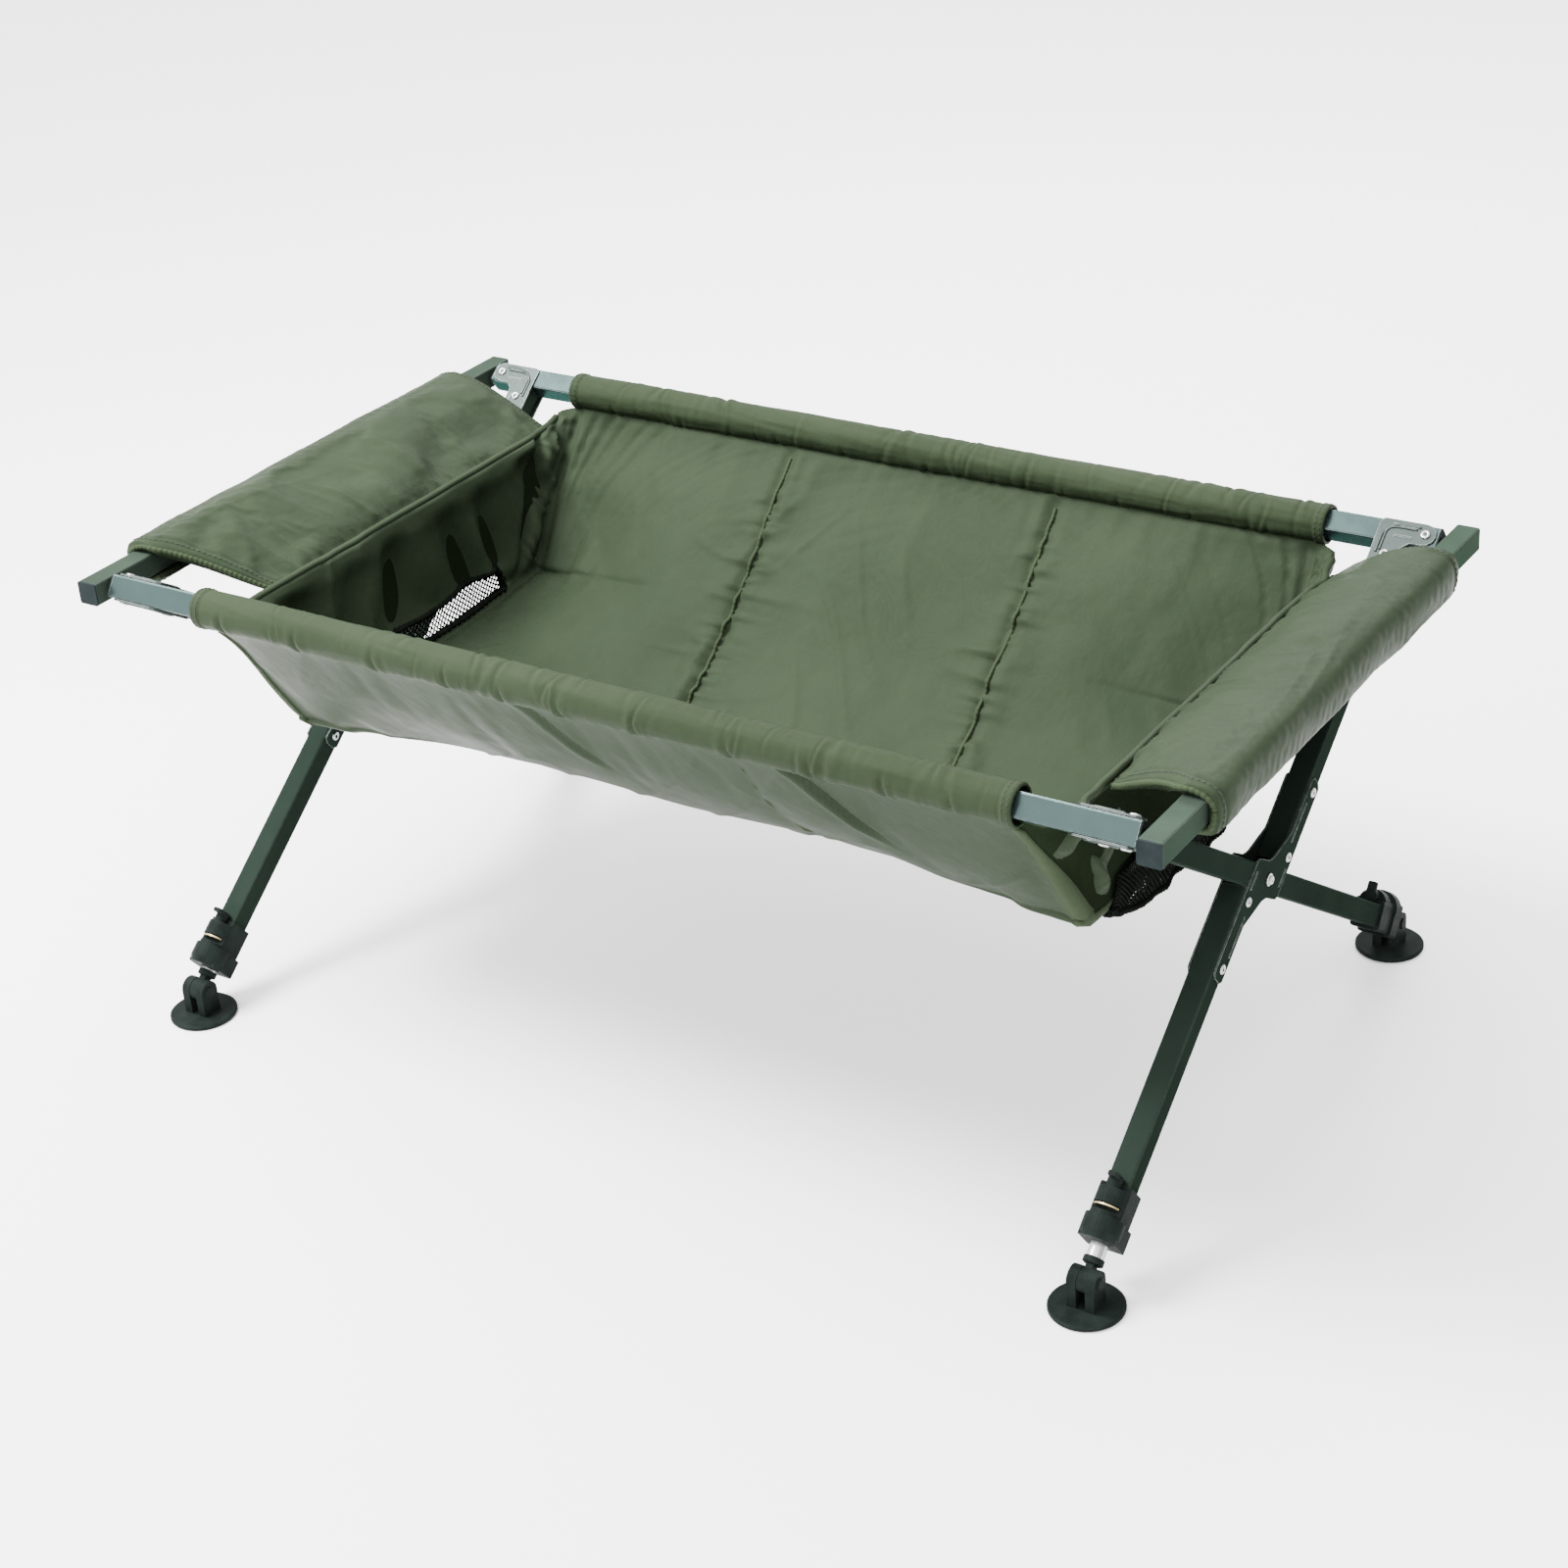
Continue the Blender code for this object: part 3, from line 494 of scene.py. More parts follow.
def tube_object(name, path, radius, material, sides=10, wobble=None):
    """A closed round tube along a path of points."""
    path = np.asarray(path, float)
    count = len(path)
    tangent = np.gradient(path, axis=0)
    tangent /= np.linalg.norm(tangent, axis=1, keepdims=True)
    up = np.array([0, 0, 1.0])
    if abs(tangent[:, 2]).mean() > 0.8:
        up = np.array([1.0, 0, 0])
    side = np.cross(tangent, up)
    side /= np.linalg.norm(side, axis=1, keepdims=True)
    top = np.cross(side, tangent)
    radii = np.full(count, radius) if wobble is None else radius * (1 + wobble)
    turn = np.linspace(0, 2 * np.pi, sides, endpoint=False)
    ring = side[:, None] * np.cos(turn)[None, :, None] + top[:, None] * np.sin(turn)[None, :, None]
    verts = path[:, None] + ring * radii[:, None, None]
    index = np.arange(count * sides).reshape(count, sides)
    wrapped = np.hstack([index, index[:, :1]])
    faces = [tuple(f) for f in grid_faces(wrapped)]
    faces += [tuple(index[0][::-1]), tuple(index[-1])]
    obj = mesh_object(name, verts.reshape(-1, 3), faces, material)
    tidy_normals(obj)
    return obj


def join_pieces(name, pieces):
    """Makes one object of several."""
    bpy.ops.object.select_all(action="DESELECT")
    for piece in pieces:
        piece.select_set(True)
    bpy.context.view_layer.objects.active = pieces[0]
    bpy.ops.object.join()
    pieces[0].name = name
    return pieces[0]


def stitches(name, path, normal, length=STITCH, gap=0.0018, width=0.0011):
    """A row of short raised stitches along a path, lying on the surface with that normal."""
    path = np.asarray(path, float)
    normal = np.broadcast_to(np.asarray(normal, float), path.shape)
    along = np.concatenate([[0], np.cumsum(np.linalg.norm(np.diff(path, axis=0), axis=1))])
    verts, faces = [], []
    start = gap
    while start + length < along[-1]:
        ends = []
        for place in (start, start + length / 2, start + length):
            ends.append(np.array([np.interp(place, along, path[:, k]) for k in range(3)]))
        up = np.array([np.interp(start + length / 2, along, normal[:, k]) for k in range(3)])
        up /= np.linalg.norm(up)
        forward = ends[2] - ends[0]
        side = np.cross(forward, up)
        side /= np.linalg.norm(side)
        first = len(verts)
        for centre, grow in zip(ends, (0.45, 1.0, 0.45)):
            for turn in range(6):
                angle = math.pi * turn / 3
                reach = side * math.cos(angle) + up * math.sin(angle)
                verts.append(centre + reach * width / 2 * grow)
        for k in range(2):
            for turn in range(6):
                a, b = first + 6 * k + turn, first + 6 * k + (turn + 1) % 6
                faces.append((a, b, b + 6, a + 6))
        faces.append(tuple(first + t for t in reversed(range(6))))
        faces.append(tuple(first + 12 + t for t in range(6)))
        start += length + gap
    return mesh_object(name, verts, faces, "thread")


def upsampled(field, rows, columns):
    """A field of vectors stretched over a finer grid."""
    old_rows, old_columns = np.linspace(0, 1, field.shape[0]), np.linspace(0, 1, field.shape[1])
    new_rows, new_columns = np.linspace(0, 1, rows), np.linspace(0, 1, columns)
    wide = np.stack([np.interp(new_columns, old_columns, line[:, k]) for line in field for k in range(3)])
    wide = wide.reshape(field.shape[0], 3, columns)
    tall = np.empty((rows, columns, 3))
    for k in range(3):
        for c in range(columns):
            tall[:, c, k] = np.interp(new_rows, old_rows, wide[:, k, c])
    for _ in range(2):
        tall[1:-1] = 0.25 * tall[:-2] + 0.5 * tall[1:-1] + 0.25 * tall[2:]
        tall[:, 1:-1] = 0.25 * tall[:, :-2] + 0.5 * tall[:, 1:-1] + 0.25 * tall[:, 2:]
    return tall


def settle(grid, held, slack, sag, push, frames, cap, cells):
    """Drapes a coarse copy of a sheet with Blender's Cloth and returns how far each of its points moves.

    held is how firmly each point is pinned, slack the spare cloth as a share of its size, sag the share of
    gravity, push the pressure under it, and cap the furthest that a point may go.
    """
    rows, columns = grid.shape[:2]
    r = np.linspace(0, rows - 1, cells[0]).round().astype(int)
    c = np.linspace(0, columns - 1, cells[1]).round().astype(int)
    coarse, firm = grid[np.ix_(r, c)], held[np.ix_(r, c)].ravel()
    index = np.arange(len(r) * len(c)).reshape(len(r), len(c))
    obj = mesh_object("settling", coarse.reshape(-1, 3), grid_faces(index), "fabric")
    group = obj.vertex_groups.new(name="held")
    for number, weight in enumerate(firm):
        group.add([number], float(weight), "REPLACE")
    cloth = obj.modifiers.new("cloth", "CLOTH")
    settings = cloth.settings
    settings.quality = 6
    settings.mass = 0.15
    settings.tension_stiffness = settings.compression_stiffness = 20
    settings.shear_stiffness = 8
    settings.bending_stiffness = 0.15
    settings.vertex_group_mass = "held"
    settings.shrink_min = -slack
    settings.effector_weights.gravity = sag
    settings.use_pressure = push > 0
    settings.uniform_pressure_force = push
    cloth.collision_settings.use_collision = False
    cloth.point_cache.frame_end = frames
    for number in range(1, frames + 1):
        bpy.context.scene.frame_set(number)
    graph = bpy.context.evaluated_depsgraph_get()
    settled = np.array([v.co for v in obj.evaluated_get(graph).data.vertices]).reshape(coarse.shape)
    bpy.data.objects.remove(obj, do_unlink=True)
    bpy.context.scene.frame_set(1)
    moves = settled - coarse
    size = np.linalg.norm(moves, axis=2, keepdims=True)
    moves *= cap * np.tanh(size / cap) / np.maximum(size, 1e-9)
    return upsampled(moves, rows, columns)


# ---- the basin ----
# Inner profile of the padded lining as (y from the middle, height): halfway along, and at its ends.
PROFILE_MIDDLE = [
    (-0.312, 0.4800), (-0.270, 0.4090), (-0.200, 0.3400), (-0.100, 0.2770), (0.000, 0.2520),
    (0.100, 0.2920), (0.200, 0.3740), (0.270, 0.4400), (0.312, 0.4800),
]
PROFILE_END = [
    (-0.312, 0.4800), (-0.285, 0.4350), (-0.245, 0.3720), (-0.214, 0.3270), (-0.192, 0.3170), (0.000, 0.3090),
    (0.192, 0.3170), (0.214, 0.3270), (0.245, 0.3720), (0.285, 0.4350), (0.312, 0.4800),
]
PROFILE_RIM = [
    (-0.312, 0.4820), (-0.275, 0.4700), (-0.200, 0.4670), (0.200, 0.4670), (0.275, 0.4700), (0.312, 0.4820),
]
RIM_X = 0.498  # top edge of an end wall, along X
WALL_X = 0.479  # foot of an end wall, along X
SKIRT = 0.80  # width of the lining from rim to rim, for the wrinkles
FLOOR_ROWS = 250  # rows of the grid along the floor
WALL_ROWS = 34  # rows up each end wall
ACROSS = 221  # columns from side to side


def tucked(points):
    """The profile with its two ends moved in under the sleeves."""
    angle = math.radians(-52)
    reach = SLEEVE_R - 0.0015
    y = (FAR.y - MIDDLE_Y) - reach * math.cos(angle)
    z = RAIL_Z + reach * math.sin(angle)
    return [(-y, z)] + points[1:-1] + [(y, z)]


def rounded(grid, times):
    """The grid with its corners eased along its rows."""
    made = grid.copy()
    for _ in range(times):
        made[1:-1] = 0.25 * made[:-2] + 0.5 * made[1:-1] + 0.25 * made[2:]
    return made


def lining_grid():
    """Points of the lining before its wrinkles: rows along the object, columns across it."""
    middle = smooth_path(tucked(PROFILE_MIDDLE), ACROSS)
    end = smooth_path(tucked(PROFILE_END), ACROSS)
    rim = smooth_path(PROFILE_RIM, ACROSS)
    x = np.linspace(-WALL_X, WALL_X, FLOOR_ROWS)
    share = step((WALL_X - np.abs(x)) / 0.25, 0, 1)[:, None, None]
    floor = np.zeros((FLOOR_ROWS, ACROSS, 3))
    floor[:, :, 0] = x[:, None]
    floor[:, :, 1:] = end * (1 - share) + middle * share
    t = np.linspace(0, 1, WALL_ROWS + 1)[1:, None, None]
    wall = np.zeros((WALL_ROWS, ACROSS, 3))
    wall[:, :, 0] = WALL_X + (RIM_X - WALL_X) * t[:, :, 0]
    wall[:, :, 1:] = end * (1 - t) + rim * t
    left = wall[::-1] * np.array([-1, 1, 1])
    grid = np.concatenate([left, floor, wall])
    grid[:, :, 1] += MIDDLE_Y
    sharp = rounded(grid, 1)
    soft = rounded(grid, 60)
    share = step(np.abs(np.linspace(-1, 1, ACROSS)), 0.62, 0.97)[None, :, None]
    return sharp * (1 - share) + soft * share


def lining_wrinkles(grid):
    """How far each point of the lining stands in from the plain surface."""
    rows = grid.shape[0]
    x = np.repeat(np.clip(grid[:, ACROSS // 2, 0], -WALL_X, WALL_X)[:, None], ACROSS, 1)
    across = np.repeat(np.linspace(-1, 1, ACROSS)[None, :], rows, 0)
    s = across * SKIRT / 2
    to_rim = SKIRT / 2 - np.abs(s)
    on_wall = np.zeros(rows)
    on_wall[:WALL_ROWS] = np.linspace(1, 0, WALL_ROWS)
    on_wall[-WALL_ROWS:] = np.linspace(0, 1, WALL_ROWS)
    on_wall = on_wall[:, None]
    height = np.zeros(grid.shape[:2])
    # Panels crown gently between the seams.
    bay = np.where(np.abs(x) < SEAM_X, np.abs(x) / SEAM_X, (np.abs(x) - SEAM_X) / (WALL_X - SEAM_X) * 2 - 1)
    height += 0.007 * (1 - bay**2) * step(to_rim, 0.0, 0.09)
    # Broad soft unevenness of the padding.
    height += 0.0040 * cloudy(x / 0.11, s / 0.13, 3) + 0.0010 * cloudy(x / 0.035, s / 0.045, 5)
    for lean, seed in ((0.55, 6), (-0.7, 16)):
        crease = ridges(hash_noise((x + lean * s) / 0.048, (s - lean * x) / 0.21, seed), 3.2)
        where = step(hash_noise(x / 0.16, s / 0.16, seed + 1), 0.05, 0.6)
        height += 0.0030 * crease * where * step(to_rim, 0.02, 0.1)
    for seam, seed in ((-SEAM_X, 11), (SEAM_X, 12)):
        offset = np.abs(x - seam)
        wander = 0.004 * hash_noise(s / 0.06, 0.5, seed + 50)
        offset = np.abs(x - seam - wander * np.exp(-offset / 0.05))
        height -= 0.0075 * bell(offset, 0.010)
        reach = 0.012 + 0.020 * (0.5 + 0.5 * hash_noise(s / 0.018, np.sign(x - seam) + 3, seed))
        drifted = s + 0.006 * hash_noise(s / 0.03, 2.5, seed + 60)
        teeth = hash_noise(drifted / 0.0085, np.sign(x - seam) + offset / 0.09 + 5, seed + 20)
        teeth = ridges(teeth, 1.4)
        height += 0.0062 * teeth * np.exp(-((offset / reach) ** 1.4)) * step(to_rim, 0.0, 0.10)
        drag = ridges(hash_noise(s / 0.040, offset / 0.16 + np.sign(x - seam) + 9, seed + 30), 2.4)
        height += 0.0045 * drag * np.exp(-((offset / 0.065) ** 1.5)) * step(to_rim, 0.03, 0.16)
    # Gathers that run down from the side rims, strongest near the corners.
    corner = bell(WALL_X - np.abs(x), 0.085)
    fan = (x - np.sign(x) * WALL_X) * (1 + 2.2 * to_rim / 0.2)
    fan = fan + 0.012 * hash_noise(s / 0.09, x / 0.05 + 4, 43)
    gather = ridges(hash_noise(fan / 0.030 + np.sign(x) * 9, s / 0.35 + 7, 41), 1.8)
    height -= (0.0012 + 0.0058 * corner) * gather * bell(to_rim, 0.12) * (on_wall <= 0.5)
    # Upright folds of the slack end walls, and the puckered seam down each corner.
    y, z = grid[:, :, 1] - MIDDLE_Y, grid[:, :, 2]
    slack = 1.3 * np.sin(2 * np.pi * (s / 0.100 + 0.35 * hash_noise(s / 0.09, on_wall * 0.7, 52))) * (
        0.6 + 0.4 * hash_noise(s / 0.11, on_wall, 53)
    )
    bulge = np.sin(np.pi * np.clip(on_wall / 0.90, 0, 1)) ** 0.7
    height += 0.0125 * slack * bulge * step(to_rim, 0.02, 0.10)
    shoulder = bell(on_wall - 0.90, 0.10)
    height += 0.005 * shoulder * step(to_rim, 0.02, 0.08)
    corner_y = 0.262 - 0.60 * (0.467 - z)
    aside = np.abs(y) - corner_y
    height -= 0.013 * bell(aside, 0.008) * step(on_wall, 0.0, 0.15)
    beyond = step(aside, 0.0, 0.012) * step(on_wall, 0.0, 0.1)
    height += 0.007 * (ridges(hash_noise(s / 0.013, on_wall * 0.8, 57), 1.3) - 0.4) * beyond
    height -= 0.0040 * bell(WALL_X - np.abs(x), 0.006) * bell(on_wall, 0.08)
    return height * step(to_rim, -0.001, 0.012)


def outer_grid(grid, inward):
    """The outside of the padded wall, let down from under the sleeves."""
    outside = grid - inward * PADDING
    y = FAR.y - MIDDLE_Y + 0.004
    z = RAIL_Z - SLEEVE_R + 0.0015
    distance = np.linspace(0, SKIRT, ACROSS)
    for sign, reach in ((-1, distance), (1, distance[::-1])):
        target = np.array([0.0, MIDDLE_Y + sign * y, z])
        pull = bell(reach, 0.030)[None, :, None]
        moved = outside.copy()
        moved[:, :, 1:] = target[1:]
        floor = slice(WALL_ROWS, -WALL_ROWS)
        outside[floor] = (outside * (1 - pull) + moved * pull)[floor]
    x, s = grid[:, :, 0], np.repeat(distance[None, :], grid.shape[0], 0)
    slanting = ridges(hash_noise(x / 0.10 + s / 0.11, s / 0.3, 72), 3)
    ripple = 0.0035 * cloudy(x / 0.16, s / 0.12, 71) + 0.0018 * slanting
    ripple *= step(SKIRT / 2 - np.abs(s - SKIRT / 2), 0.0, 0.05) * step(WALL_X - np.abs(x), 0.0, 0.05)
    # Slanting creases where the outer skin is caught by the seams, on both sides.
    for top_x, lean, deep, width in ((-0.075, 0.55, 0.0035, 0.004), (0.240, 0.62, 0.0070, 0.0035)):
        for down in (s, SKIRT - s):
            line = x - top_x - lean * (down - 0.01)
            fade = step(down, 0.004, 0.02) * (1 - step(down, 0.07, 0.13))
            ripple -= deep * bell(line, width) * fade
            ripple += 0.7 * deep * bell(line + 0.010, 0.009) * fade
    return outside - inward * ripple[:, :, None]


def window_span():
    """Rows and columns of the grid where the end walls' mesh windows are."""
    half = (WINDOW_HIGH.y - WINDOW_LOW.y) / 2
    end = smooth_path(tucked(PROFILE_END), ACROSS)
    inside = np.nonzero(np.abs(end[:, 0]) < half)[0]
    low, high, rise = 0.003, 0.039, 0.467 - 0.309
    r0, r1 = int(round(low / rise * WALL_ROWS)), int(round(high / rise * WALL_ROWS))
    return r0, r1, int(inside[0]), int(inside[-1])


def basin_hold(grid):
    """Where the lining is sewn down: its rim, its seams and the foot of each end wall."""
    held = np.zeros(grid.shape[:2])
    held[:, :3] = held[:, -3:] = 1
    held[:4] = held[-4:] = 1
    middle = grid[:, ACROSS // 2, 0]
    for x in (-SEAM_X, SEAM_X):
        held[np.abs(middle - x) < 0.006] = 0.9
    held[WALL_ROWS - 2 : WALL_ROWS + 3] = 0.9
    held[-WALL_ROWS - 3 : -WALL_ROWS + 2] = 0.9
    return held


def blend_basin(obj):
    """Bakes a piece of the basin's placement into its mesh."""
    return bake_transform(obj)


def make_basin():
    base = lining_grid()
    inward = normals_of(base)
    if inward[base.shape[0] // 2, ACROSS // 2, 2] < 0:
        inward = -inward
    moves = settle(base, basin_hold(base), 0.022, 0.5, 0.0, 24, 0.008, (101, 81))
    inner = base + moves + inward * lining_wrinkles(base)[:, :, None]
    outer = outer_grid(base + 0.5 * moves, inward)
    r0, r1, c0, c1 = window_span()
    rows = base.shape[0]
    right = (rows - 1 - WALL_ROWS + r0, rows - 1 - WALL_ROWS + r1, c0, c1)
    left = (WALL_ROWS - r1, WALL_ROWS - r0, c0, c1)
    lining = shell_object("padded_basin", inner, outer, "fabric", (left, right))
    paint_shade_on_end_walls(lining, base.shape, (left, right))
    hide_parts("basin")
    blend_basin(lining)
    make_seams(inner, inward)
    make_end_piping(inner, outer)
    make_corner_tape(outer, inward)
    for word, window in (("left", left), ("right", right)):
        make_window(word, window, inner, outer)


def paint_shade_on_end_walls(obj, shape, windows):
    """Gives the outside of the end walls a much darker olive with no gloss: painted shade on faces that sit
    in shadow under the end covers.
    """
    obj.data.materials.append(MATERIALS["painted_shade_wall"])
    rows = np.nonzero(kept_cells(shape, windows))[0]
    for cell in np.nonzero((rows < WALL_ROWS) | (rows >= shape[0] - 1 - WALL_ROWS))[0]:
        obj.data.polygons[len(rows) + int(cell)].material_index = 1


def make_seams(inner, inward):
    """The raised, bound seams across the lining, with their stitching."""
    for word, x in (("left", -SEAM_X), ("right", SEAM_X)):
        row = int(np.argmin(np.abs(inner[:, ACROSS // 2, 0] - x)))
        path = inner[row, 3:-3] + inward[row, 3:-3] * 0.0012
        path = smooth_path(path[::3], 500)
        wobble = 0.16 * np.sin(np.linspace(0, 1, 500) * 2 * np.pi * 150)
        seam = tube_object("lining_seam_" + word, path, 0.0021, "binding", 8, wobble)
        blend_basin(seam)


def make_corner_tape(outer, inward):
    """The tape sewn over the outside corners between the basin's long body and each end wall."""
    window = window_span()
    for word, row, way in (("left", WALL_ROWS, -1), ("right", outer.shape[0] - 1 - WALL_ROWS, 1)):
        rows = [row - 2 * way, row, row + 2 * way]
        tapes = []
        for columns in (slice(6, window[2]), slice(window[3], -6)):
            outside = np.stack([outer[r, columns] - inward[r, columns] * 0.0016 for r in rows])
            inside = np.stack([outer[r, columns] + inward[r, columns] * 0.0030 for r in rows])
            tapes.append(shell_object("tape", inside, outside, "binding"))
        tapes = join_pieces("corner_tape_" + word, tapes)
        blend_basin(tapes)


def make_end_piping(inner, outer):
    """The corded edge where the basin meets each padded end cover."""
    for word, row in (("left", 0), ("right", -1)):
        path = (inner[row] + outer[row]) / 2 + np.array([0, 0, 0.002])
        path = smooth_path(path[::6], 260)
        wobble = 0.05 * hash_noise(np.arange(260) / 5.0, 0.5, 81)
        piping = tube_object("end_piping_" + word, path, 0.0042, "fabric", 12, wobble)
        blend_basin(piping)


# Section of the right drain net as (x, z), from the window's top edge round under the floor.
NET_FLAT = [
    (0.4955, 0.3520), (0.4940, 0.3400), (0.4910, 0.3260), (0.4880, 0.3140), (0.4800, 0.3080),
    (0.4650, 0.3050),
]
NET_FULL = [
    (0.4965, 0.3520), (0.4985, 0.3300), (0.4960, 0.3040), (0.4880, 0.2800), (0.4720, 0.2760),
    (0.4540, 0.2960),
]


def net_path(side, share):
    """Section of the drain net: flat at its ends, where share is 0, and full in the middle."""
    path = np.array(NET_FLAT) * (1 - share) + np.array(NET_FULL) * share
    return path * np.array([side, 1])


def strands(name, lines, radius):
    """Thin square strands along many paths, as one mesh."""
    verts, faces = [], []
    for line in lines:
        line = np.asarray(line)
        tangent = np.gradient(line, axis=0)
        tangent /= np.linalg.norm(tangent, axis=1, keepdims=True)
        side = np.cross(tangent, (0.9, 0.1, 0.4))
        side /= np.linalg.norm(side, axis=1, keepdims=True)
        top = np.cross(side, tangent)
        first, count = len(verts), len(line)
        for across, up in ((1, 0), (0, 1), (-1, 0), (0, -1)):
            verts.extend(line + radius * (across * side + up * top))
        for turn in range(4):
            a, b = first + turn * count, first + (turn + 1) % 4 * count
            faces += [(a + k, a + k + 1, b + k + 1, b + k) for k in range(count - 1)]
        faces.append(tuple(first + t * count for t in range(4)))
        faces.append(tuple(first + t * count + count - 1 for t in (3, 2, 1, 0)))
    obj = mesh_object(name, [tuple(v) for v in verts], faces, "net")
    tidy_normals(obj)
    return obj


def make_window(word, window, inner, outer):
    """A drain window: a net of real strands, hanging as a gathered pocket, with black edging round it."""
    r0, r1, c0, c1 = window
    side = -1 if word == "left" else 1
    half = (WINDOW_HIGH.y - WINDOW_LOW.y) / 2 + 0.020
    up, across = int(0.10 / NET_CELL), int(2 * half / NET_CELL)
    share = np.sin(np.pi * np.linspace(0, 1, across + 1)) ** 0.4
    columns = np.array([smooth_path(net_path(side, each), up + 1) for each in share])
    pleat = hash_noise(np.arange(across + 1) / 3.1, 0.5, 61) * 0.0045
    loose = np.sin(np.pi * np.arange(up + 1) / up)
    net = np.zeros((up + 1, across + 1, 3))
    net[:, :, 0] = columns[:, :, 0].T + side * pleat * loose[:, None]
    net[:, :, 1] = MIDDLE_Y + np.linspace(-half, half, across + 1)
    net[:, :, 2] = columns[:, :, 1].T - pleat * loose[:, None]
    lines = []
    for slope in (-1, 1):
        for start in range(-up, across + up + 1):
            cells = [(i, start + slope * i) for i in range(up + 1) if 0 <= start + slope * i <= across]
            if len(cells) > 2:
                lines.append([net[i, j] for i, j in cells])
    mesh = strands("drain_net_" + word, lines, NET_STRAND)
    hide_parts("mesh_window_" + word)
    blend_basin(mesh)
    loop = [(r0, c) for c in range(c0, c1 + 1, 3)] + [(r, c1) for r in range(r0, r1 + 1, 2)]
    loop += [(r1, c) for c in range(c1, c0 - 1, -3)] + [(r, c0) for r in range(r1, r0 - 1, -2)]
    gathered = net[int(0.66 * up)] + np.array([side * 0.001, 0, 0])
    edgings = [
        ("inside", np.array([inner[r, c] for r, c in loop]), 0.0030),
        ("outside", np.array([outer[r, c] for r, c in loop]), 0.0034),
        ("pocket", gathered, 0.0036),
    ]
    for place, path, radius in edgings:
        path = smooth_path(path, 420)
        place_along = np.arange(420)
        wobble = 0.40 * np.sin(place_along * 1.15) * (0.6 + 0.4 * hash_noise(place_along / 7.0, 0.3, 91))
        edge = tube_object("window_edge_" + place + "_" + word, path, radius, "net", 8, wobble)
        blend_basin(edge)


# ---- the padded side sleeves ----
def sleeve_radius(x, turn, inner_side, seed):
    """Radius of a side sleeve by place and turn: small creases, pulled rings, its hems and its seam."""
    rng = np.random.default_rng(seed)
    radius = np.full((x.size, turn.size), SLEEVE_R - 0.0006)
    wave_a, wave_b = 3 * np.cos(turn) + 5, 3 * np.sin(turn) + 5
    radius = radius + 0.0008 * cloudy(x / 0.055 + wave_a, wave_b, seed + 1)
    for _ in range(64):
        place = rng.uniform(-SLEEVE_END + 0.03, SLEEVE_END - 0.03)
        lean = rng.uniform(-0.010, 0.010)
        facing = rng.uniform(0, 2 * np.pi)
        width = rng.uniform(0.0012, 0.0045)
        deep = rng.uniform(0.0002, 0.0014)
        arc = np.clip(0.5 + 0.9 * np.cos(turn - facing), 0, 1)
        offset = x - place - lean * np.cos(turn - facing + 1.2)
        radius = radius - deep * arc * bell(offset, width)
        radius = radius + 0.6 * deep * arc * bell(offset - 2 * width, 1.4 * width)
    low = math.radians(250 if inner_side > 0 else 290)
    for number in range(11):
        place = -SLEEVE_END + 0.06 + number * (2 * SLEEVE_END - 0.12) / 10 + rng.uniform(-0.022, 0.022)
        arc = np.clip(0.45 + 0.75 * np.cos(turn - low), 0, 1) ** 1.5
        offset = x - place - 0.012 * rng.uniform(-1, 1) * np.cos(turn - low + 1.0)
        radius = radius - 0.0026 * arc * bell(offset, 0.0022)
        for sign in (-1, 1):
            radius = radius + 0.0012 * arc * bell(offset - sign * 0.0075, 0.0050)
    pinch = ridges(hash_noise(x / 0.0085, 0.5, seed + 7), 1.5)
    radius = radius - 0.0011 * pinch * np.clip(np.cos(turn - low), 0, 1) ** 6
    hem = np.abs(np.abs(x) - (SLEEVE_END - HEM / 2)) < HEM / 2
    groove = bell(np.abs(x) - (SLEEVE_END - HEM), 0.0012)
    radius = np.where(hem, SLEEVE_R + 0.0004 + 0 * radius, radius) - 0.0014 * groove
    seam_turn = math.radians(262 if inner_side > 0 else 278)
    from_seam = np.mod(turn - seam_turn + np.pi, 2 * np.pi) - np.pi
    seam = bell(from_seam, 0.10)
    return radius - 0.0012 * seam * (1 + 0.4 * np.sin(x * 700))


def make_sleeve(word, centre, body, seed):
    """A padded tube of fabric on a side rail, crept into rings, with a stitched hem at each end."""
    count, sides = 520, 72
    x = np.linspace(-SLEEVE_END, SLEEVE_END, count)[:, None]
    turn = np.linspace(0, 2 * np.pi, sides, endpoint=False)[None, :]
    inner_side = math.copysign(1, MIDDLE_Y - centre.y)

    def ring(radii):
        y, z = centre.y + radii * np.cos(turn), centre.z + radii * np.sin(turn)
        return np.stack([x + 0 * turn, y, z], axis=-1)

    outside = ring(sleeve_radius(x, turn, inner_side, seed))
    inside = ring(np.full((count, sides), SLEEVE_INSIDE))
    a = np.arange(count * sides).reshape(count, sides)
    a = np.hstack([a, a[:, :1]])
    b = a + count * sides
    faces = [grid_faces(a), grid_faces(b)[:, ::-1], rim_strip(a[0], b[0]), rim_strip(a[-1], b[-1])[:, ::-1]]
    points = np.vstack([outside.reshape(-1, 3), inside.reshape(-1, 3)])
    obj = mesh_object("padded_sleeve_" + word, points, np.vstack(faces), "sleeve")
    tidy_normals(obj)
    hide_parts(word + "_sleeve")
    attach(obj, body)
    make_sleeve_stitches(word, centre, body)


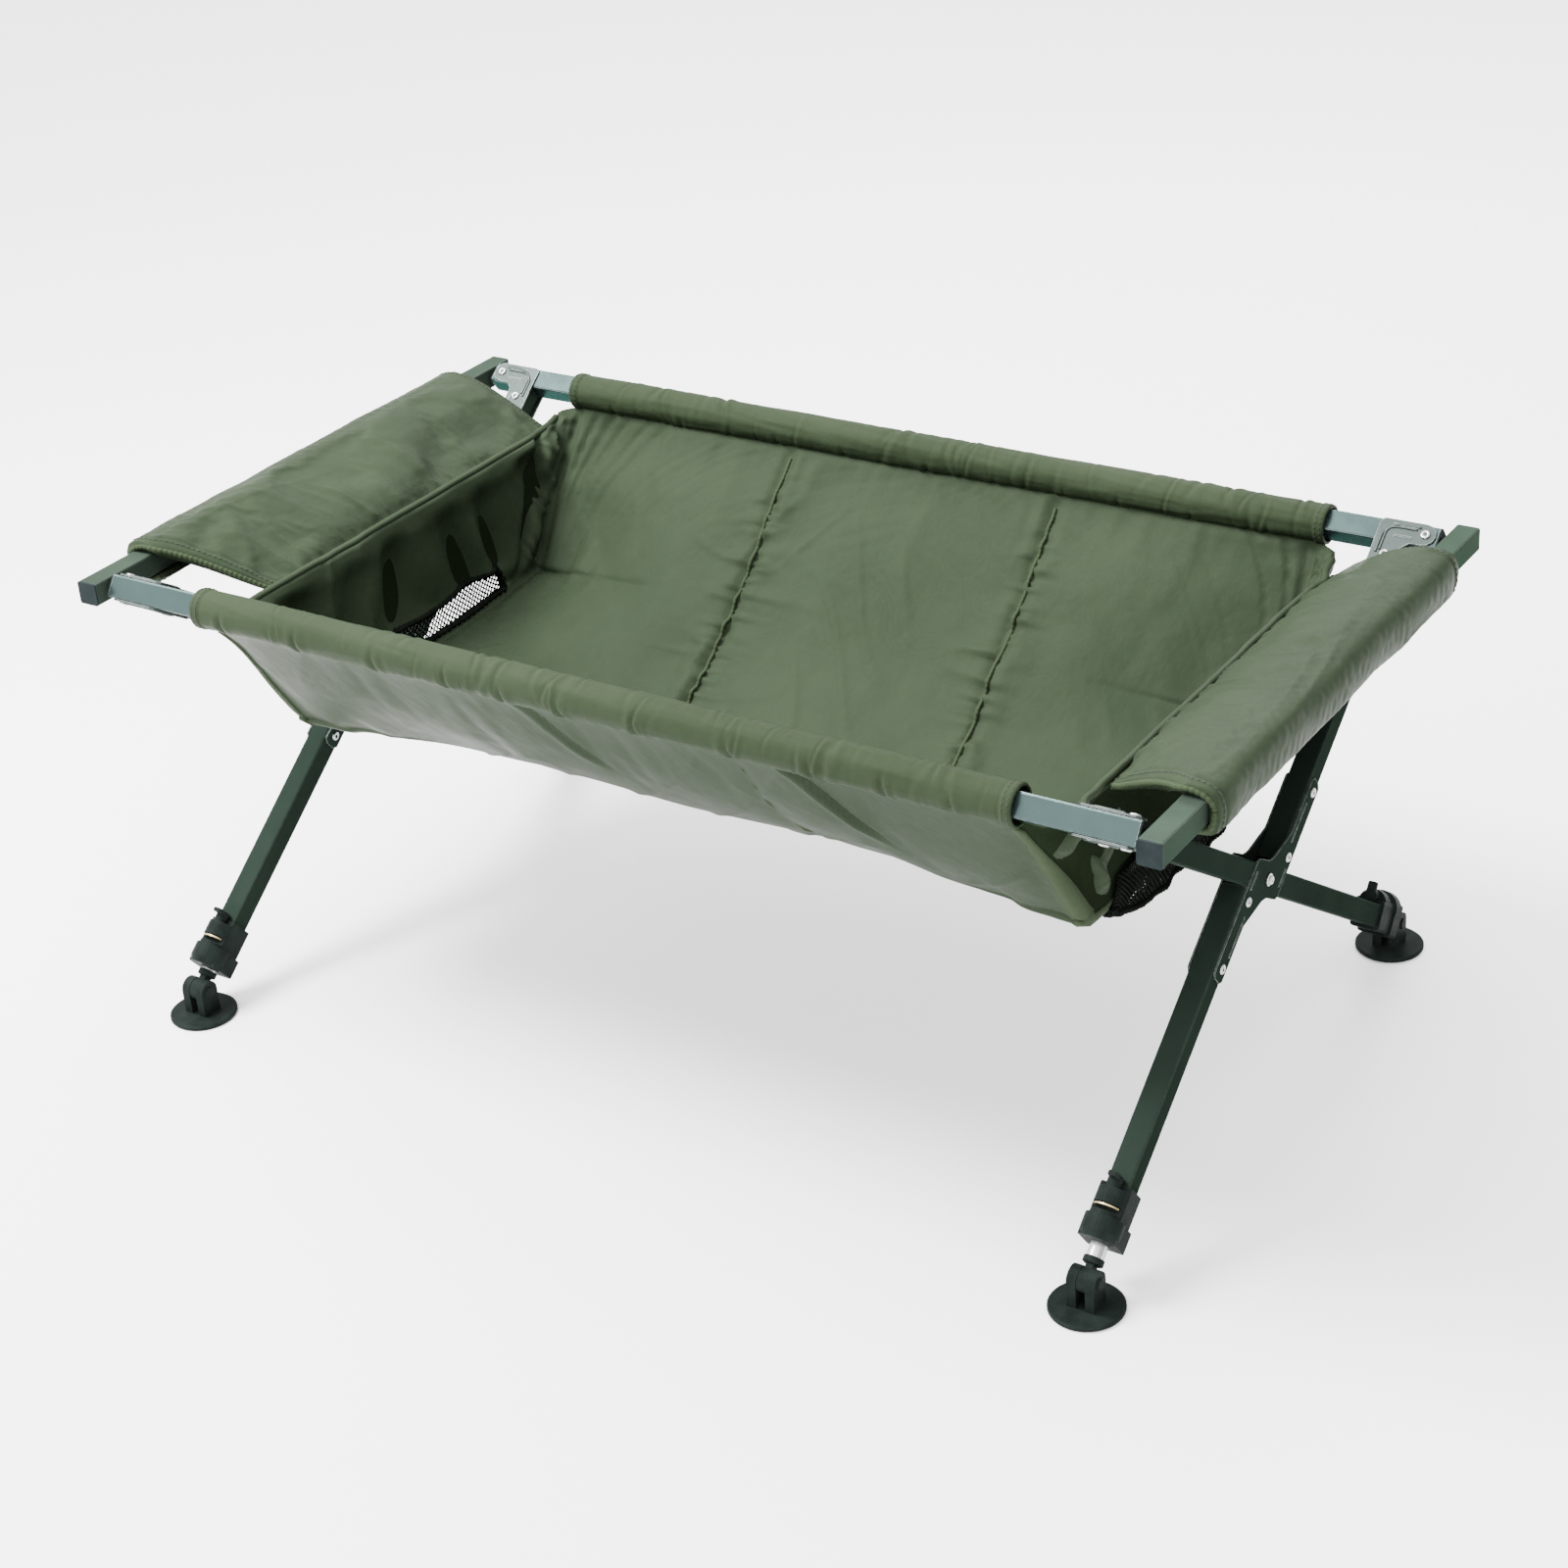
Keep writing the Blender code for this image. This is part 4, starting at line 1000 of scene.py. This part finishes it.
def make_sleeve_stitches(word, centre, body):
    """Two rows of stitching round each hem of a side sleeve."""
    rows = []
    for side in (-1, 1):
        for inset in (0.0035, 0.0090):
            around = np.linspace(0, 2 * np.pi, 90)
            radii = SLEEVE_R + 0.0005
            middle = np.array([side * (SLEEVE_END - inset), centre.y, centre.z])
            path = np.full((90, 3), middle)
            path[:, 1] += radii * np.cos(around)
            path[:, 2] += radii * np.sin(around)
            normal = path - middle
            rows.append(stitches("stitch_row", path, normal))
    rows = join_pieces("sleeve_stitches_" + word, rows)
    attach(rows, body)


# ---- the padded end covers ----
# Sections for the right end, as (x, z): the outside from the basin's edge over the bar, and the inside.
COVER_OUT = [
    (0.5030, 0.4660), (0.5150, 0.4740), (0.5350, 0.4880), (0.5600, 0.5040), (0.5850, 0.5180),
    (0.6080, 0.5265), (0.6270, 0.5275), (0.6410, 0.5225), (0.6475, 0.5100), (0.6475, 0.4930),
    (0.6420, 0.4810), (0.6270, 0.4770), (0.6120, 0.4785), (0.6030, 0.4840),
]
COVER_IN = [
    (0.5050, 0.4610), (0.5180, 0.4660), (0.5370, 0.4780), (0.5610, 0.4940), (0.5840, 0.5070),
    (0.6020, 0.5158), (0.6150, 0.5162), (0.6330, 0.5160), (0.6365, 0.5130), (0.6365, 0.4920),
    (0.6350, 0.4885), (0.6200, 0.4875), (0.6110, 0.4875), (0.6085, 0.4885),
]
HEM_SLANT = 0.070  # how far a cover's near hem slants in towards the basin


def cover_height(y, s, seed):
    """How far an end cover stands out from its plain section, by place along it and round it."""
    from_end = np.minimum(y - y[:, :1], y[:, -1:] - y)
    height = 0.0024 * cloudy(y / 0.085, s * 4, seed)
    drag = ridges(hash_noise(y / 0.034 + 1.6 * s, s * 0.9, seed + 4), 2.4)
    reach = 0.30 + 0.16 * hash_noise(y / 0.05, 0.5, seed + 8)
    height = height + 0.0042 * drag * bell(s, reach)
    tucks = ridges(hash_noise(y / 0.010, s * 1.5 + 3, seed + 6), 1.8)
    height = height + 0.0022 * tucks * bell(s - 0.05, 0.06) * step(s, 0.012, 0.05)
    across = ridges(hash_noise(y / 0.30, s * 9 + 0.6 * np.sin(y * 9), seed + 9), 3.0)
    height = height + 0.0012 * across * step(s, 0.35, 0.5)
    height = height * step(from_end, 0.004, 0.03)
    height = height + 0.0030 * np.sin(np.pi * np.clip(s / 0.5, 0, 1)) * step(from_end, 0.0, 0.05)
    height = height - 0.0018 * bell(from_end - HEM, 0.0016)
    return height - 0.0015 * step(from_end, 0.010, 0.0)


def cover_hold(around, along):
    """Where an end cover is sewn down: its hems, its edge on the basin and its turn round the bar."""
    held = np.zeros((around, along))
    held[:, :5] = held[:, -5:] = 1
    held[:3] = 1
    held[int(around * 0.55) :] = 0.6
    held[-3:] = 1
    return held


def make_cover(word, side, seed):
    """The padded cover that wraps an end bar and slopes down to the basin."""
    around, along = 110, 230
    outline_out = smooth_path(COVER_OUT, around)
    outline_in = smooth_path(COVER_IN, around)
    slant = HEM_SLANT * np.clip((0.615 - outline_out[:, :1]) / 0.112, 0, 1)
    share = np.linspace(0, 1, along)[None, :]
    y = (BOLSTER_LOW.y + slant) * (1 - share) + (BOLSTER_HIGH.y + 0.25 * slant) * share

    def spread(outline):
        grid = np.zeros((around, along, 3))
        grid[:, :, 0] = side * outline[:, :1]
        grid[:, :, 1] = y
        grid[:, :, 2] = outline[:, 1:]
        return grid

    outside, inside = spread(outline_out), spread(outline_in)
    outward = normals_of(outside)
    if outward[around // 4, along // 2, 2] < 0:
        outward = -outward
    moves = settle(outside, cover_hold(around, along), 0.030, 0.0, 1.2, 16, 0.006, (45, 91))
    s = np.linspace(0, 1, around)[:, None]
    outside = outside + moves + outward * cover_height(y, s, seed)[:, :, None]
    obj = shell_object("padded_end_cover_" + word, inside, outside, "fabric")
    body = "end_bar_" + word + "_group"
    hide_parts("bolster_" + word)
    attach(obj, body)
    make_cover_hems(word, body, outside, inside, outward, y[0, 1] - y[0, 0])


def make_cover_hems(word, body, outside, inside, outward, pitch):
    """The rolled edge and the stitching of an end cover's two hems; pitch is its grid's spacing."""
    rows = []
    for column, sign in ((0, 1), (-1, -1)):
        path = outside[:, column] * 0.5 + inside[:, column] * 0.5
        path = smooth_path(path[::4], 240)
        wobble = 0.10 * np.sin(np.arange(240) * 1.1)
        rows.append(tube_object("hem_roll", path, 0.0031, "binding", 10, wobble))
        k = int(HEM / pitch) - 2
        k = k if column == 0 else -1 - k
        rows.append(stitches("hem_stitch", outside[:, k] + outward[:, k] * 0.0003, outward[:, k]))
    rows = join_pieces("end_cover_hems_" + word, rows)
    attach(rows, body)


# ---- bright rivets ----
def ring_head(centre, axis, radius=0.0052):
    """A bright ring rivet head, open at its middle."""
    axis = Vector(axis).normalized()
    side = axis.orthogonal().normalized()
    other = axis.cross(side)
    rim = [(radius, -0.0004), (radius, 0.0010)]
    crown = [(radius * 0.78, 0.0022), (radius * 0.42, 0.0020), (radius * 0.36, 0.0008)]
    profile = rim + crown
    sides = 24
    verts = []
    for r, h in profile:
        for k in range(sides):
            turn = 2 * math.pi * k / sides
            verts.append(Vector(centre) + (side * math.cos(turn) + other * math.sin(turn)) * r + axis * h)
    faces = []
    for level in range(len(profile) - 1):
        for k in range(sides):
            a, b = level * sides + k, level * sides + (k + 1) % sides
            faces.append((a, b, b + sides, a + sides))
    faces.append(tuple(reversed(range(sides))))
    last = (len(profile) - 1) * sides
    faces.append(tuple(last + k for k in range(sides)))
    obj = mesh_object("rivet_ring", [tuple(v) for v in verts], faces, "bright_steel")
    tidy_normals(obj)
    return obj


# Centre line of a corner plate's rib from the leg's axis, as (along the rail, down the leg).
RIB_PATH = [
    (0.0280, -0.0068), (0.0100, -0.0068), (0.0000, -0.0050), (-0.0060, 0.0020), (-0.0068, 0.0120),
    (-0.0068, 0.0250),
]


def leg_direction(foot_y, rail):
    """Unit vector down a leg from its rail, in Y and Z."""
    d = Vector((0, foot_y - rail.y, KNUCKLE_Z - rail.z))
    return d.normalized()


def corner_rivets(side, rail, down):
    """Rivets of the two corner plates of one corner."""
    across = Vector((side, 0, 0))
    face = across.cross(down)
    heads = []
    for sign in (-1, 1):
        level = face * sign * PLATE_TOP
        for x, reach in ((LEG_X + 0.0345, 0.0), (LEG_X, 0.029)):
            centre = Vector((side * x, rail.y, rail.z)) + down * reach + level
            heads.append(ring_head(centre, face * sign))
    return heads


def corner_ribs(side, rail, down):
    """The two pressed ribs that turn the corner on each of a corner's two plates."""
    across = Vector((side, 0, 0))
    face = across.cross(down)
    ribs = []
    for sign in (-1, 1):
        level = face * sign * (PLATE_TOP + 0.0002)
        for inset in (0.0, 0.0045):
            level_in = level - (across - down).normalized() * inset
            path = []
            for x, reach in RIB_PATH:
                path.append(Vector((side * (LEG_X + x), rail.y, rail.z)) + down * reach + level_in)
            path = smooth_path([tuple(p) for p in path], 40)
            ribs.append(tube_object("rib", path, 0.0013, "corner_plate", 8))
    return ribs


def scissor_rivets(side, up, out):
    """Rivets of the two Z-shaped plates of one scissor."""
    heads = []
    pivot = Vector((side * LEG_X, PIVOT.y, PIVOT.z))
    spacing = 0.027
    for face in (-1, 1):
        for sign in (-1, 1):
            for reach in (0.1095, 0.0370):
                centre = pivot + up * reach * sign - out * spacing * sign + Vector((face * PLATE_TOP, 0, 0))
                heads.append(ring_head(centre, (face, 0, 0)))
        heads.append(ring_head(pivot + Vector((face * (PLATE_TOP + 0.0027), 0, 0)), (face, 0, 0), 0.0048))
    return heads


def make_rivets():
    """Every rivet head and pressed rib, joined by frame."""
    near_down = leg_direction(FOOT_Y, NEAR)
    far_up = Vector((0, math.cos(SCISSOR_SLOPE), math.sin(SCISSOR_SLOPE)))
    far_out = Vector((0, -math.sin(SCISSOR_SLOPE), math.cos(SCISSOR_SLOPE)))
    near_heads, far_heads = [], []
    for side in (-1, 1):
        near_heads += corner_rivets(side, NEAR, near_down)
        far_heads += corner_rivets(side, FAR, -far_up)
        far_heads += scissor_rivets(side, far_up, far_out)
    for word, rail, down in (("near", NEAR, near_down), ("far", FAR, -far_up)):
        ribs = corner_ribs(-1, rail, down) + corner_ribs(1, rail, down)
        ribs = join_pieces(word + "_plate_ribs", ribs)
        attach(ribs, word + "_frame")
    for word, heads in (("near", near_heads), ("far", far_heads)):
        joined = join_pieces(word + "_rivets", heads)
        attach(joined, word + "_frame")


make_camera()
make_studio()
finish_frame()
make_basin()
make_sleeve("near", NEAR, "near_frame", 101)
make_sleeve("far", FAR, "far_frame", 202)
make_cover("left", -1, 301)
make_cover("right", 1, 402)
make_rivets()
